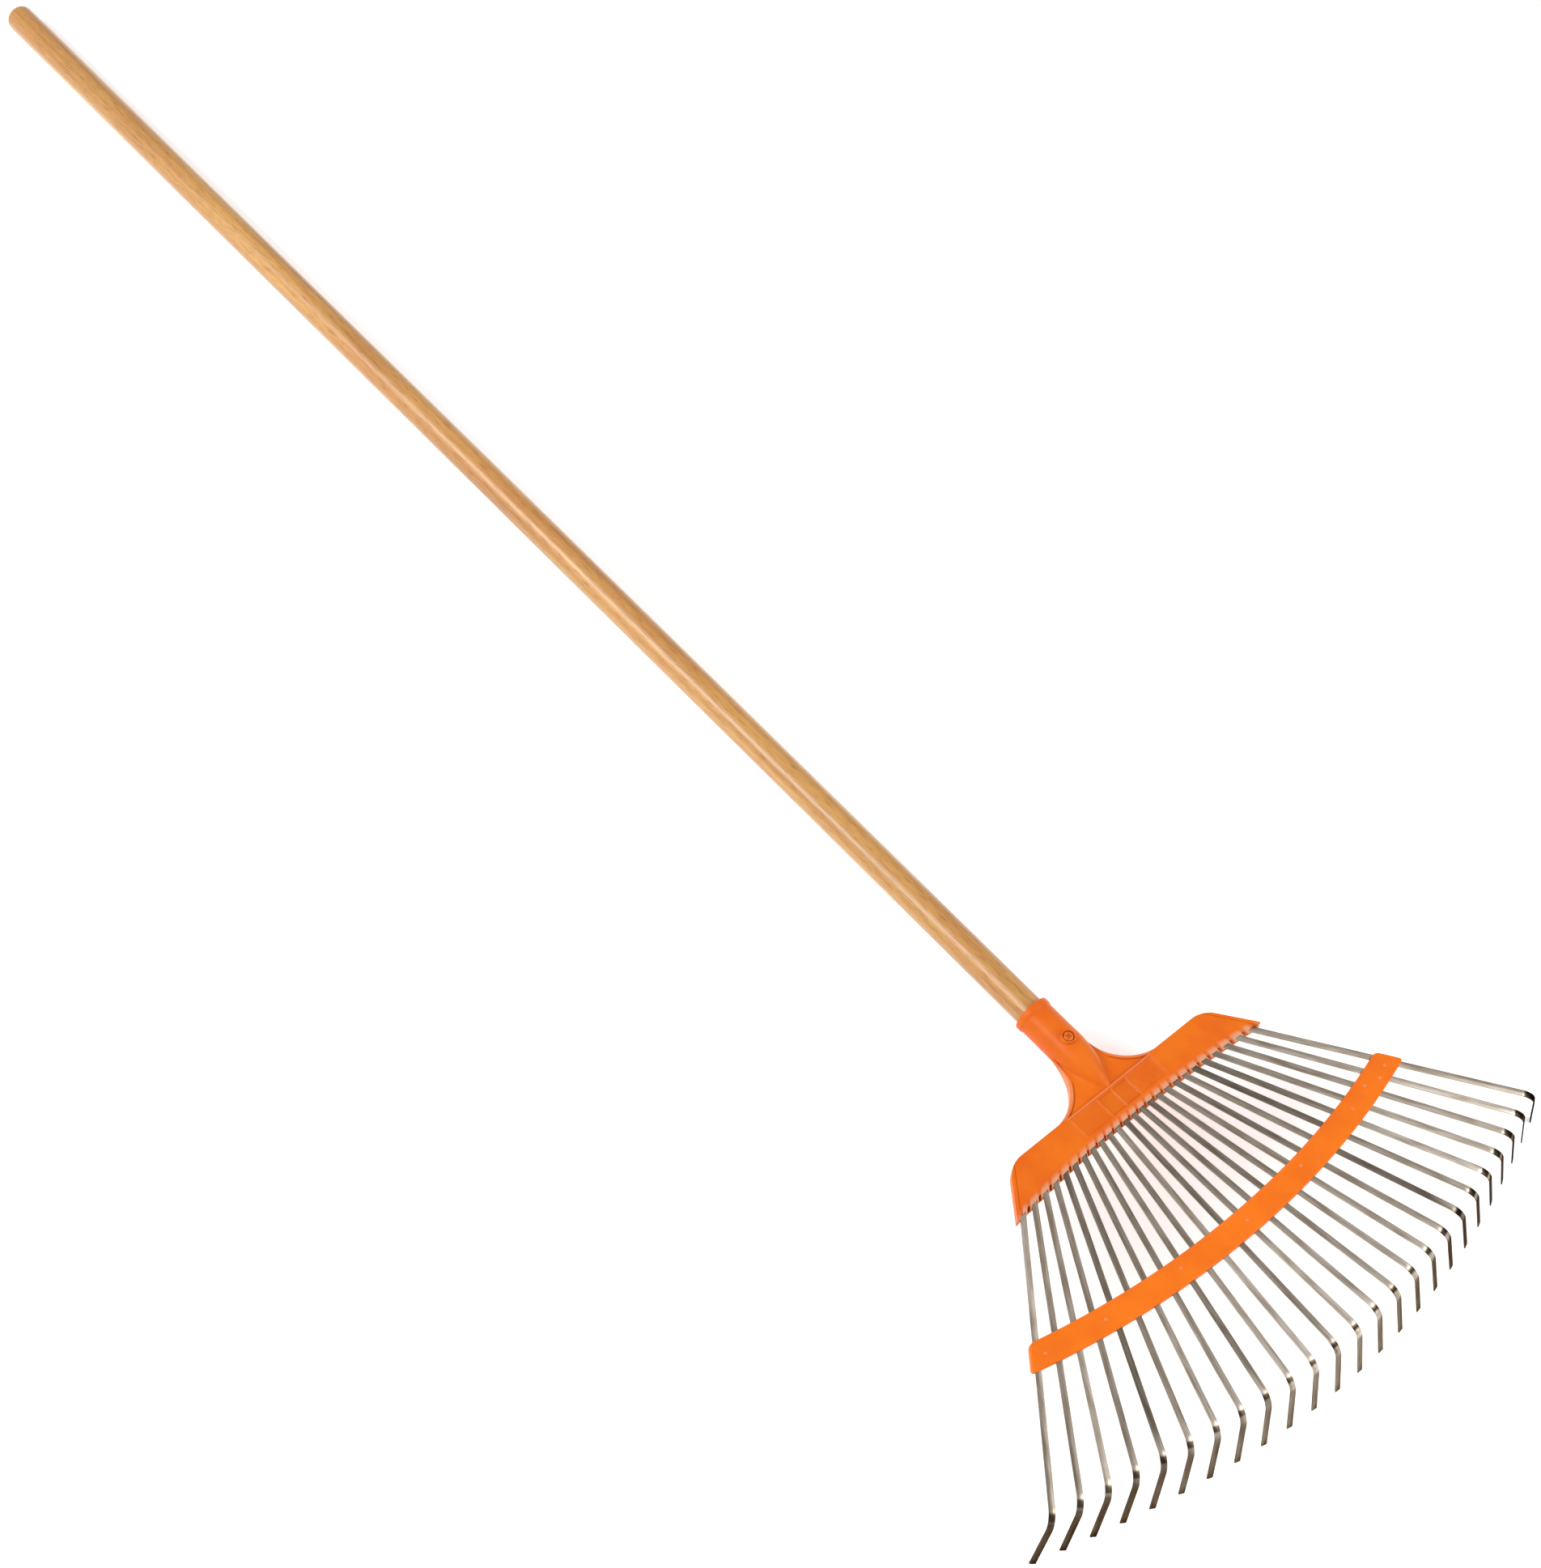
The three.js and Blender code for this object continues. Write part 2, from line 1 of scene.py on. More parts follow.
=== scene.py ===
"""Leaf rake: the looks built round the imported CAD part.

Shapes are worked out in millimetres in the head's own frame: the tines leave the head in the plane
z = 0, x = 0 is a line just behind the head bar, and y = 0 is the line that the handle runs along.
on_floor() turns that frame to the row frame, where the rake lies on the floor.
"""

import json
import math

import bpy
import numpy as np
from mathutils import Matrix


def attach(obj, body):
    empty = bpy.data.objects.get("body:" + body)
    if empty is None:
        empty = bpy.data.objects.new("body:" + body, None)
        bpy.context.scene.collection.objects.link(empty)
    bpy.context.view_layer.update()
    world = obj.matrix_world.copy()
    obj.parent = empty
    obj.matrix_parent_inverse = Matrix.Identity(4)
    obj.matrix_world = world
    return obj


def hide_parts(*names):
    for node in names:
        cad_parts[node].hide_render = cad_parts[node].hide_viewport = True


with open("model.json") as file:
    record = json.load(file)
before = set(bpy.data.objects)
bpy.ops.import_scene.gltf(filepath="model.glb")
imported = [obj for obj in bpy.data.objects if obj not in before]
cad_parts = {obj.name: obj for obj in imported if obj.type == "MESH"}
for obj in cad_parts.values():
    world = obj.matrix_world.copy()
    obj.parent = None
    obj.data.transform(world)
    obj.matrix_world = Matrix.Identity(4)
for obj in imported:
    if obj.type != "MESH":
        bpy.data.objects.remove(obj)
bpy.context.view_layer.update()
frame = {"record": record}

# ---- sizes, in millimetres, from the CAD part unless a comment says otherwise --------------------------

HANDLE_R = 12.0
HANDLE_LENGTH = 1384.0
HANDLE_PITCH = math.radians(2.19)     # the handle rises by this away from the tine plane
HANDLE_MEETS_PLANE_X = 45.5
BUTT_DOME = 9.0
NOSE_END_X = -8.35
NOSE_LENGTH = 26.0
NOSE_R = 7.5

MOUTH_X = -73.0
COLLAR_R = 15.1
COLLAR_LENGTH = 5.0
SOCKET_R = 14.3
BORE_PLAY = 0.35
CONE = [(-60, 14.3), (-46, 14.3), (-32, 14.3), (-20, 12.9), (-8, 10.1), (1, 6.9), (6.5, 4.4), (8.6, 2.4)]

BAR_BACK_X = 6.5
BAR_TOP_Z = 5.0
BAR_BOTTOM_Z = -5.0
BAR_END = (40.5, 125.0)
BAR_CORNER_R = 23.0
LIP_DEPTH = 5.5
LIP_LOW_Z = -1.0
RETAINER_BACK_X = 9.5
RETAINER_SETBACK = 2.6
RETAINER_PLAY = 0.35
RETAINER_END_Y = 80.4                 # its ends run along the fan from this y at x = 0
PANEL_EDGES = (-41, -14.5, 0, 14.5, 41)

WEB_TOP_Z = 4.0
WEB_FILLET_R = 41.0
WEB_ROOT_Y = 14.2
WEB_WALL = 2.6
WEB_RIB_Y = 27.0
WEB_HOLLOW_TURN = 27.8                # degrees round the outline's arc where the hollow begins
BEAD_IN = np.array([4.0, 3.5, 3.1, 2.7, 2.3, 1.9, 1.5])          # in from the outline
BEAD_LIFT = np.array([0, -0.4, -0.5, 0.1, 0.6, 0.75, 0.5])       # a fine groove, then the bead

TINES = 25
FAN_ANGLE = 37.4                      # degrees, of the outermost tines from the handle's line
TINE_WIDTH = 4.8
TINE_THICKNESS = 1.04                 # a hair under the CAD's, for bends that swell past its facets
BEND_ANGLE = math.radians(73.5)
BEND_R = 13.6
TIP_LENGTH = 47.6                     # from the bend's sharp corner, and longer by 2.2 at the sides
HOOK_S, HOOK_HEIGHT, HOOK_R = 13.0, 3.4, 1.2
SLOT_HALF_WIDTH = 2.8                 # of a tine's slot in the lip and the brace
SLOT_HALF_HEIGHT = 0.93

# How pale the rolled steel is, 0 to 10, tine by tine.
PALE_AT_HEAD = (7, 5, 5, 5, 3, 3, 4, 4, 5, 4, 6, 3, 4, 4, 3, 4, 5, 3, 5, 2, 3, 5, 5, 6, 6)
PALE_AT_BEND = (4, 4, 7, 4, 2, 5, 7, 6, 4, 8, 9, 5, 9, 7, 6, 7, 7, 6, 2, 6, 9, 8, 7, 9, 6)

BRACE_WIDTH = 20.0
BRACE_THICKNESS = 4.8
BRACE_MARGIN = 5.0                    # from the middle of the outermost tine to the brace's end

SCREW_X = -37.0
BOSS_R = 5.6
BOSS_TOP = 16.15
SCREW_SEAT = 14.2
SCREW_HEAD_R = 3.9

# ---- from the head's frame to the row frame --------------------------------------------------------

MOUNT = next(m for m in frame["record"]["mounts"] if m["name"] == "bar_top")
MOUNT_IN_HEAD = np.array([20.0, 66.0, 5.0])
TILT = math.atan2(-MOUNT["axis"][0], MOUNT["axis"][2])


def on_floor(points):
    """Head frame in mm to row frame in metres: a turn by TILT about Y, then the shift that puts the
    point MOUNT_IN_HEAD on the record's mount."""
    x, y, z = np.moveaxis(np.asarray(points, float) - MOUNT_IN_HEAD, -1, 0)
    c, s = math.cos(TILT), math.sin(TILT)
    return np.stack([x * c - z * s, y, x * s + z * c], -1) / 1000 + np.array(MOUNT["pos_m"])


def along_handle(points):
    """Handle frame to head frame: a turn by the handle's pitch about the line where its axis meets
    the tine plane."""
    x, y, z = np.moveaxis(np.asarray(points, float), -1, 0)
    c, s = math.cos(HANDLE_PITCH), math.sin(HANDLE_PITCH)
    x = x - HANDLE_MEETS_PLANE_X
    return np.stack([x * c + z * s + HANDLE_MEETS_PLANE_X, y, z * c - x * s], -1)


# ---- the fan: everything about a tine follows from u, -1 at one side of the rake to 1 at the other ---
# root_y is where it starts, reach how far out its bend is, exit_s where it leaves the bar, and drop how
# far it has sunk at the bend.

def root_y(u):
    return 87.5 * (0.86 * u + 0.14 * u**3)


def fan_angle(u):
    return np.radians(FAN_ANGLE * (1.1 * u - 0.1 * u**3))


def roll(u):
    return np.radians(10.4 * u)


def reach(u):
    return 251.1 + 13.5 * u**2


def exit_s(u):
    return 34 + 18 * u**2


def drop(u):
    return 21.3 * u**2


def slope(u):
    return np.arctan(drop(u) / (reach(u) - exit_s(u)))


def in_fan(s, side, up, u):
    """Puts a point drawn along a tine (s out from the root, side across it, up off its plane) at its
    place in the fan: rolled about its own length, turned by the fan angle, moved to the root."""
    a, r = fan_angle(u), roll(u)
    across = side * np.cos(r) - up * np.sin(r)
    x = s * np.cos(a) - across * np.sin(a)
    y = s * np.sin(a) + across * np.cos(a) + root_y(u)
    return np.stack(np.broadcast_arrays(x, y, side * np.sin(r) + up * np.cos(r)), -1)


tine_u = np.linspace(-1, 1, TINES)

# ---- meshes ------------------------------------------------------------------------------------------

def shell(points, **marks):
    """A closed shell from a grid of rings, shape (rings, around, 3): quads between neighbouring rings,
    and triangles from each end ring to its middle. It is turned so that its volume is positive.
    Marks are numbers on the same grid, shape (rings, around)."""
    rings, around = points.shape[:2]
    ring, place = np.meshgrid(np.arange(rings - 1), np.arange(around), indexing="ij")
    here = ring * around + place
    beside = ring * around + (place + 1) % around
    quads = np.stack([here, beside, beside + around, here + around], -1).reshape(-1, 4)
    loop = np.arange(around)
    following = (loop + 1) % around
    last = (rings - 1) * around
    first_middle, last_middle = rings * around, rings * around + 1
    ends = np.concatenate([
        np.stack([np.full(around, first_middle), following, loop], -1),
        np.stack([np.full(around, last_middle), last + loop, last + following], -1),
    ])
    verts = np.concatenate([points.reshape(-1, 3), [points[0].mean(0), points[-1].mean(0)]])
    corners = np.concatenate([quads[:, :3], quads[:, [0, 2, 3]], ends])
    a, b, c = (verts[corners[:, k]] for k in range(3))
    if np.einsum("ij,ij->", a, np.cross(b, c)) < 0:
        quads, ends = quads[:, ::-1], ends[:, ::-1]
    flat = {
        name: np.concatenate([np.broadcast_to(v, (rings, around)).ravel(), [v[0].mean(), v[-1].mean()]])
        for name, v in marks.items()
    }
    return verts, quads, ends, flat


def make_piece(name, shells, material, nodes, crease=38.0):
    """One object at the origin from closed shells, smooth but for edges sharper than crease degrees."""
    verts, faces, start = [], [], 0
    for points, quads, ends, _ in shells:
        verts.append(points)
        faces += (quads + start).tolist() + (ends + start).tolist()
        start += len(points)
    mesh = bpy.data.meshes.new(name)
    mesh.from_pydata(on_floor(np.concatenate(verts)).tolist(), [], faces)
    for mark in sorted({key for s in shells for key in s[3]}):
        layer = mesh.attributes.new(mark, "FLOAT", "POINT")
        values = [s[3].get(mark, np.zeros(len(s[0]))) for s in shells]
        layer.data.foreach_set("value", np.concatenate(values).astype(np.float32))
    mesh.polygons.foreach_set("use_smooth", np.ones(len(mesh.polygons), bool))
    mesh.set_sharp_from_angle(angle=math.radians(crease))
    mesh.materials.append(material)
    mesh.update()
    piece = bpy.data.objects.new(name, mesh)
    bpy.context.scene.collection.objects.link(piece)
    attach(piece, "root")
    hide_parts(*nodes)
    return piece


def corner(x, y, r, start, stop, count):
    """Points on an arc about (x, y), from start to stop in degrees."""
    a = np.radians(np.linspace(start, stop, count))
    return np.stack([x + r * np.cos(a), y + r * np.sin(a)], -1)


def smooth_through(points, count):
    """A smooth line through points: between each two it is the cubic of Catmull and Rom."""
    p = np.asarray(points, float)
    p = np.concatenate([[2 * p[0] - p[1]], p, [2 * p[-1] - p[-2]]])
    place = np.linspace(0, len(points) - 1, count)
    k = np.minimum(place.astype(int), len(points) - 2)
    t = (place - k)[:, None]
    a, b, c, d = p[k], p[k + 1], p[k + 2], p[k + 3]
    return 0.5 * (2 * b + (c - a) * t + (2 * a - 5 * b + 4 * c - d) * t**2 + (3 * b - a - 3 * c + d) * t**3)


def turned(profile, around=64):
    """A profile of (x, radius) turned about the handle's axis."""
    x, r = np.asarray(profile, float).T[:, :, None]
    a = np.linspace(0, 2 * np.pi, around, endpoint=False)
    return along_handle(np.stack(np.broadcast_arrays(x, r * np.sin(a), r * np.cos(a)), -1))


def turned_upright(profile, around=48):
    """A profile of (radius, height from the handle's axis) turned about the screw's own line."""
    r, z = np.asarray(profile, float).T[:, :, None]
    a = np.linspace(0, 2 * np.pi, around, endpoint=False)
    points = np.stack(np.broadcast_arrays(SCREW_X + r * np.cos(a), r * np.sin(a), z), -1)
    return along_handle(points)


def step(value, start, stop):
    """0 before start, 1 after stop, and a smooth rise between."""
    t = np.clip((value - start) / (stop - start), 0, 1)
    return t * t * (3 - 2 * t)


def unit(vectors):
    return vectors / np.linalg.norm(vectors, axis=-1, keepdims=True)


# ---- colours and nodes --------------------------------------------------------------------------------

def linear(hex_colour):
    """An sRGB hex colour as linear RGBA."""
    channels = [int(hex_colour[k:k + 2], 16) / 255 for k in (1, 3, 5)]
    return [c / 12.92 if c <= 0.04045 else ((c + 0.055) / 1.055) ** 2.4 for c in channels] + [1.0]


def new_material(name):
    material = bpy.data.materials.new(name)
    material.use_nodes = True
    tree = material.node_tree
    return material, tree, tree.nodes["Principled BSDF"]


def add(tree, kind, links=(), inputs=(), stops=(), **settings):
    """Adds one node: settings are its own, inputs its sockets' values, links its sockets' sources, and
    stops a colour ramp's (place, hex colour)."""
    node = tree.nodes.new(kind)
    for key, value in settings.items():
        setattr(node, key, value)
    for key, value in dict(inputs).items():
        node.inputs[key].default_value = value
    for key, source in dict(links).items():
        tree.links.new(source, node.inputs[key])
    if stops:
        elements = node.color_ramp.elements
        while len(elements) < len(stops):
            elements.new(0.5)
        for element, (place, colour) in zip(elements, stops):
            element.position = place
            element.color = linear(colour)
    return node


# Turned ash under clear lacquer: open pores and growth rings run with the handle, and the lacquer
# gives one narrow soft highlight along it. The pores are drawn 0.8 mm wide, coarser than real ones,
# so that they show.
def lacquered_ash():
    material, tree, shader = new_material("lacquered turned ash")
    lean = TILT - HANDLE_PITCH
    middle = on_floor(along_handle(np.array([-700.0, 0.0, 0.0])))
    depth = middle[2] * math.cos(lean) - middle[0] * math.sin(lean)
    place = add(tree, "ShaderNodeTexCoord").outputs["Object"]
    turned_place = add(tree, "ShaderNodeMapping", {"Vector": place},
                       {"Rotation": (0, lean, 0), "Location": (0, 0, -depth)}).outputs["Vector"]

    def stretched(along_mm, across_mm):
        size = (1000 / along_mm, 1000 / across_mm, 1000 / across_mm)
        return add(tree, "ShaderNodeMapping", {"Vector": turned_place}, {"Scale": size}).outputs["Vector"]

    rings = add(tree, "ShaderNodeTexNoise", {"Vector": stretched(260, 5.5)},
                {"Scale": 1.0, "Detail": 2.0, "Roughness": 0.5, "Distortion": 0.25})
    pores = add(tree, "ShaderNodeTexNoise", {"Vector": stretched(13, 0.8)},
                {"Scale": 1.0, "Detail": 3.0, "Roughness": 0.65})
    patches = add(tree, "ShaderNodeTexNoise", {"Vector": stretched(190, 60)}, {"Scale": 1.0, "Detail": 1.0})
    wood = add(tree, "ShaderNodeValToRGB", {"Fac": rings.outputs["Fac"]},
               stops=[(0.3, "#B5813A"), (0.45, "#C49044"), (0.58, "#CD9A4D"), (0.72, "#D6A65A")])
    fleck = add(tree, "ShaderNodeValToRGB", {"Fac": pores.outputs["Fac"]},
                stops=[(0.34, "#BE8A50"), (0.46, "#F2E8DA"), (0.7, "#FFFFFF")])
    marked = add(tree, "ShaderNodeMix", {6: wood.outputs["Color"], 7: fleck.outputs["Color"]},
                 {"Factor": 0.8}, data_type="RGBA", blend_type="MULTIPLY")
    tone = add(tree, "ShaderNodeValToRGB", {"Fac": patches.outputs["Fac"]},
               stops=[(0.3, "#EFD9BE"), (0.6, "#FFFFFF")])
    toned = add(tree, "ShaderNodeMix", {6: marked.outputs[2], 7: tone.outputs["Color"]}, {"Factor": 0.75},
                data_type="RGBA", blend_type="MULTIPLY")
    tree.links.new(toned.outputs[2], shader.inputs["Base Color"])
    bump = add(tree, "ShaderNodeBump", {"Height": pores.outputs["Fac"]},
               {"Strength": 0.12, "Distance": 0.0003})
    tree.links.new(bump.outputs["Normal"], shader.inputs["Normal"])
    shader.inputs["Roughness"].default_value = 0.46
    shader.inputs["IOR"].default_value = 1.5
    shader.inputs["Coat Weight"].default_value = 0.9
    shader.inputs["Coat Roughness"].default_value = 0.3
    return material


# Injection-moulded polypropylene: semi-gloss, a little cloudy in colour, a fine moulded skin, paler
# where highlights and reflections are painted into its colour, and darker where shade is painted into
# its slots and grooves. The clouds are about 26 mm across. The skin is drawn at 0.7 mm, coarser than
# the real one, to show.
def moulded_polypropylene(name, body, cloud, thin):
    material, tree, shader = new_material(name)
    place = add(tree, "ShaderNodeTexCoord").outputs["Object"]
    clouds = add(tree, "ShaderNodeTexNoise", {"Vector": place}, {"Scale": 38.0, "Detail": 3.0})
    colour = add(tree, "ShaderNodeValToRGB", {"Fac": clouds.outputs["Fac"]},
                 stops=[(0.35, cloud), (0.62, body)])
    # Painted highlight and painted reflection: where this mark is set, the colour is mixed towards the pale
    # one.
    wall = add(tree, "ShaderNodeAttribute", attribute_name="thin")
    mixed = add(tree, "ShaderNodeMix", {0: wall.outputs["Fac"], 6: colour.outputs["Color"]},
                {7: linear(thin)}, data_type="RGBA")
    # Painted shade: where this mark is set, the colour is darkened towards a dark brown.
    dark = add(tree, "ShaderNodeAttribute", attribute_name="deep")
    shaded = add(tree, "ShaderNodeMix", {0: dark.outputs["Fac"], 6: mixed.outputs[2]},
                 {7: linear("#3E1E0C")}, data_type="RGBA")
    tree.links.new(shaded.outputs[2], shader.inputs["Base Color"])
    skin = add(tree, "ShaderNodeTexNoise", {"Vector": place}, {"Scale": 1400.0, "Detail": 2.0})
    gloss = add(tree, "ShaderNodeMapRange", {"Value": clouds.outputs["Fac"]},
                {"To Min": 0.34, "To Max": 0.46})
    tree.links.new(gloss.outputs["Result"], shader.inputs["Roughness"])
    bump = add(tree, "ShaderNodeBump", {"Height": skin.outputs["Fac"]},
               {"Strength": 0.06, "Distance": 0.0002})
    tree.links.new(bump.outputs["Normal"], shader.inputs["Normal"])
    shader.inputs["IOR"].default_value = 1.49
    shader.inputs["Specular IOR Level"].default_value = 0.24
    return material


# Tempered flat spring steel: rolled, so fine streaks run along each tine. The temper leaves some
# tines browner and some paler. Shade is painted into the colour as a dark band across each bend and
# over the tips, most at the outer tines, and a highlight is painted where each bend begins. The
# streaks are 50 mm long and 0.45 mm wide, wider than the rolls leave them, so that they show.
def spring_steel():
    material, tree, shader = new_material("tempered spring steel")
    along = add(tree, "ShaderNodeAttribute", attribute_name="along")
    across = add(tree, "ShaderNodeAttribute", attribute_name="across")
    # pale holds the steel's own tone, and also the painted highlight where each bend begins.
    pale = add(tree, "ShaderNodeAttribute", attribute_name="pale")
    run = add(tree, "ShaderNodeCombineXYZ", {"X": along.outputs["Fac"], "Y": across.outputs["Fac"]})
    rolled = add(tree, "ShaderNodeMapping", {"Vector": run.outputs["Vector"]}, {"Scale": (0.02, 2.2, 1.0)})
    streaks = add(tree, "ShaderNodeTexNoise", {"Vector": rolled.outputs["Vector"]},
                  {"Scale": 1.0, "Detail": 3.0, "Roughness": 0.6})
    blotched = add(tree, "ShaderNodeMapping", {"Vector": run.outputs["Vector"]},
                   {"Scale": (0.045, 0.25, 1.0)})
    blotches = add(tree, "ShaderNodeTexNoise", {"Vector": blotched.outputs["Vector"]},
                   {"Scale": 1.0, "Detail": 2.0})
    tones = add(tree, "ShaderNodeValToRGB", {"Fac": pale.outputs["Fac"]},
                stops=[(0.0, "#5E564C"), (0.5, "#BCB1A2"), (1.0, "#F9F0E1")])
    grain = add(tree, "ShaderNodeValToRGB", {"Fac": streaks.outputs["Fac"]},
                stops=[(0.3, "#B4ABA0"), (0.55, "#FFFFFF")])
    stain = add(tree, "ShaderNodeValToRGB", {"Fac": blotches.outputs["Fac"]},
                stops=[(0.35, "#C9BEB0"), (0.6, "#FFFFFF")])
    # Painted shade: this mark darkens the band across each bend and the tips.
    painted_shade_mark = add(tree, "ShaderNodeAttribute", attribute_name="blueing")
    painted_steel_shade = add(tree, "ShaderNodeValToRGB", {"Fac": painted_shade_mark.outputs["Fac"]},
                stops=[(0.0, "#FFFFFF"), (0.5, "#8C8279"), (1.0, "#38332E")])
    colour = tones.outputs["Color"]
    for layer, share in ((grain, 0.8), (stain, 0.7), (painted_steel_shade, 1.0)):
        colour = add(tree, "ShaderNodeMix", {6: colour, 7: layer.outputs["Color"]}, {"Factor": share},
                     data_type="RGBA", blend_type="MULTIPLY").outputs[2]
    tree.links.new(colour, shader.inputs["Base Color"])
    gloss = add(tree, "ShaderNodeMapRange", {"Value": streaks.outputs["Fac"]},
                {"To Min": 0.26, "To Max": 0.4})
    tree.links.new(gloss.outputs["Result"], shader.inputs["Roughness"])
    bump = add(tree, "ShaderNodeBump", {"Height": streaks.outputs["Fac"]},
               {"Strength": 0.15, "Distance": 0.0001})
    tree.links.new(bump.outputs["Normal"], shader.inputs["Normal"])
    shader.inputs["Metallic"].default_value = 1.0
    shader.inputs["Specular Tint"].default_value = linear("#8A8580")
    return material


# Stoving enamel on the screw: the head's orange, a little darker, with brown specks of wear about a
# millimetre across.
def enamelled_screw():
    material, tree, shader = new_material("orange stoving enamel")
    place = add(tree, "ShaderNodeTexCoord").outputs["Object"]
    cloud = add(tree, "ShaderNodeTexNoise", {"Vector": place}, {"Scale": 900.0, "Detail": 3.0})
    colour = add(tree, "ShaderNodeValToRGB", {"Fac": cloud.outputs["Fac"]},
                 stops=[(0.28, "#9A5220"), (0.42, "#D4620F"), (0.65, "#E06C12")])
    tree.links.new(colour.outputs["Color"], shader.inputs["Base Color"])
    shader.inputs["Roughness"].default_value = 0.4
    shader.inputs["IOR"].default_value = 1.5
    return material


# Painted studio floor, with a faint glow of its own and so pale that it fades into the light.
def floor_paint():
    material, tree, shader = new_material("matt white floor paint")
    place = add(tree, "ShaderNodeTexCoord").outputs["Object"]
    cloud = add(tree, "ShaderNodeTexNoise", {"Vector": place}, {"Scale": 3.0, "Detail": 1.0})
    colour = add(tree, "ShaderNodeValToRGB", {"Fac": cloud.outputs["Fac"]},
                 stops=[(0.3, "#F6F6F5"), (0.7, "#FAFAFA")])
    tree.links.new(colour.outputs["Color"], shader.inputs["Base Color"])
    shader.inputs["Roughness"].default_value = 0.9
    shader.inputs["Specular IOR Level"].default_value = 0.1
    shader.inputs["Emission Color"].default_value = linear("#FFFFFF")
    shader.inputs["Emission Strength"].default_value = 0.3
    return material


# ---- handle -------------------------------------------------------------------------------------------

def make_handle(material):
    """A straight round bar turned about its axis: a quarter ellipse at the butt, one radius along it,
    and a plain taper at the nose inside the socket."""
    butt = NOSE_END_X - HANDLE_LENGTH
    a = np.radians(np.linspace(6, 90, 14))
    dome = np.stack([butt + BUTT_DOME * (1 - np.cos(a)), HANDLE_R * np.sin(a)], -1)
    taper_x = NOSE_END_X - NOSE_LENGTH
    x = np.linspace(butt + BUTT_DOME + 12, taper_x, 60)
    body = np.stack([x, np.full(60, HANDLE_R)], -1)
    nose = [(NOSE_END_X - 1, NOSE_R), (NOSE_END_X, NOSE_R - 1)]
    return make_piece("turned_handle", [shell(turned(np.concatenate([dome, body, nose])))],
                      material, ["handle"])


# ---- head: socket --------------------------------------------------------------------------------------

cone_line = smooth_through(CONE, 120)


def socket_shell():
    """The socket turned about the handle's axis: from the end of the bore out along the bore, round
    the mouth, over the collar, along the socket and down the cone to its point."""
    bore_r = HANDLE_R + BORE_PLAY
    bore_end = NOSE_END_X + BORE_PLAY
    bore = [(bore_end, 0.5), (bore_end, NOSE_R + BORE_PLAY), (bore_end - NOSE_LENGTH, bore_r)]
    mouth_in = corner(MOUTH_X + 0.5, bore_r + 0.5, 0.5, 270, 180, 4)
    mouth_out = corner(MOUTH_X + 0.7, COLLAR_R - 0.7, 0.7, 180, 90, 5)
    run_x = MOUTH_X + COLLAR_LENGTH
    collar = [(run_x - 0.6, COLLAR_R), (run_x, COLLAR_R - 0.12), (run_x + 0.8, SOCKET_R + 0.15),
              (run_x + 1.7, SOCKET_R)]
    outside = cone_line[cone_line[:, 0] > run_x + 2]
    profile = np.concatenate([bore, mouth_in, mouth_out, collar, outside, [(8.9, 0.5)]])
    return shell(turned(profile, 96))


def boss_shell():
    """The raised ring round the screw: a wall with rounded edges round a sunk seat."""
    inner, outer = SCREW_HEAD_R + 0.6, BOSS_R
    seat, foot = SCREW_SEAT + 0.18, 11.3
    around_screw = [(0.4, seat), (inner - 0.3, seat), (inner, seat + 0.22)]
    skirt = [(outer + 0.1, 14.9), (outer + 0.5, 13.9), (outer + 0.6, foot)]
    profile = np.concatenate([
        around_screw, corner(inner + 0.3, BOSS_TOP - 0.3, 0.3, 180, 90, 4),
        corner(outer - 0.5, BOSS_TOP - 0.5, 0.5, 90, 0, 5), skirt, [(0.4, foot)]])
    # Painted shade: the seat round the screw is marked to be darkened.
    deep = np.zeros((len(profile), 48))
    deep[:len(around_screw)] = 0.5
    return shell(turned_upright(profile), deep=deep)


# ---- head: web -------------------------------------------------------------------------------------------

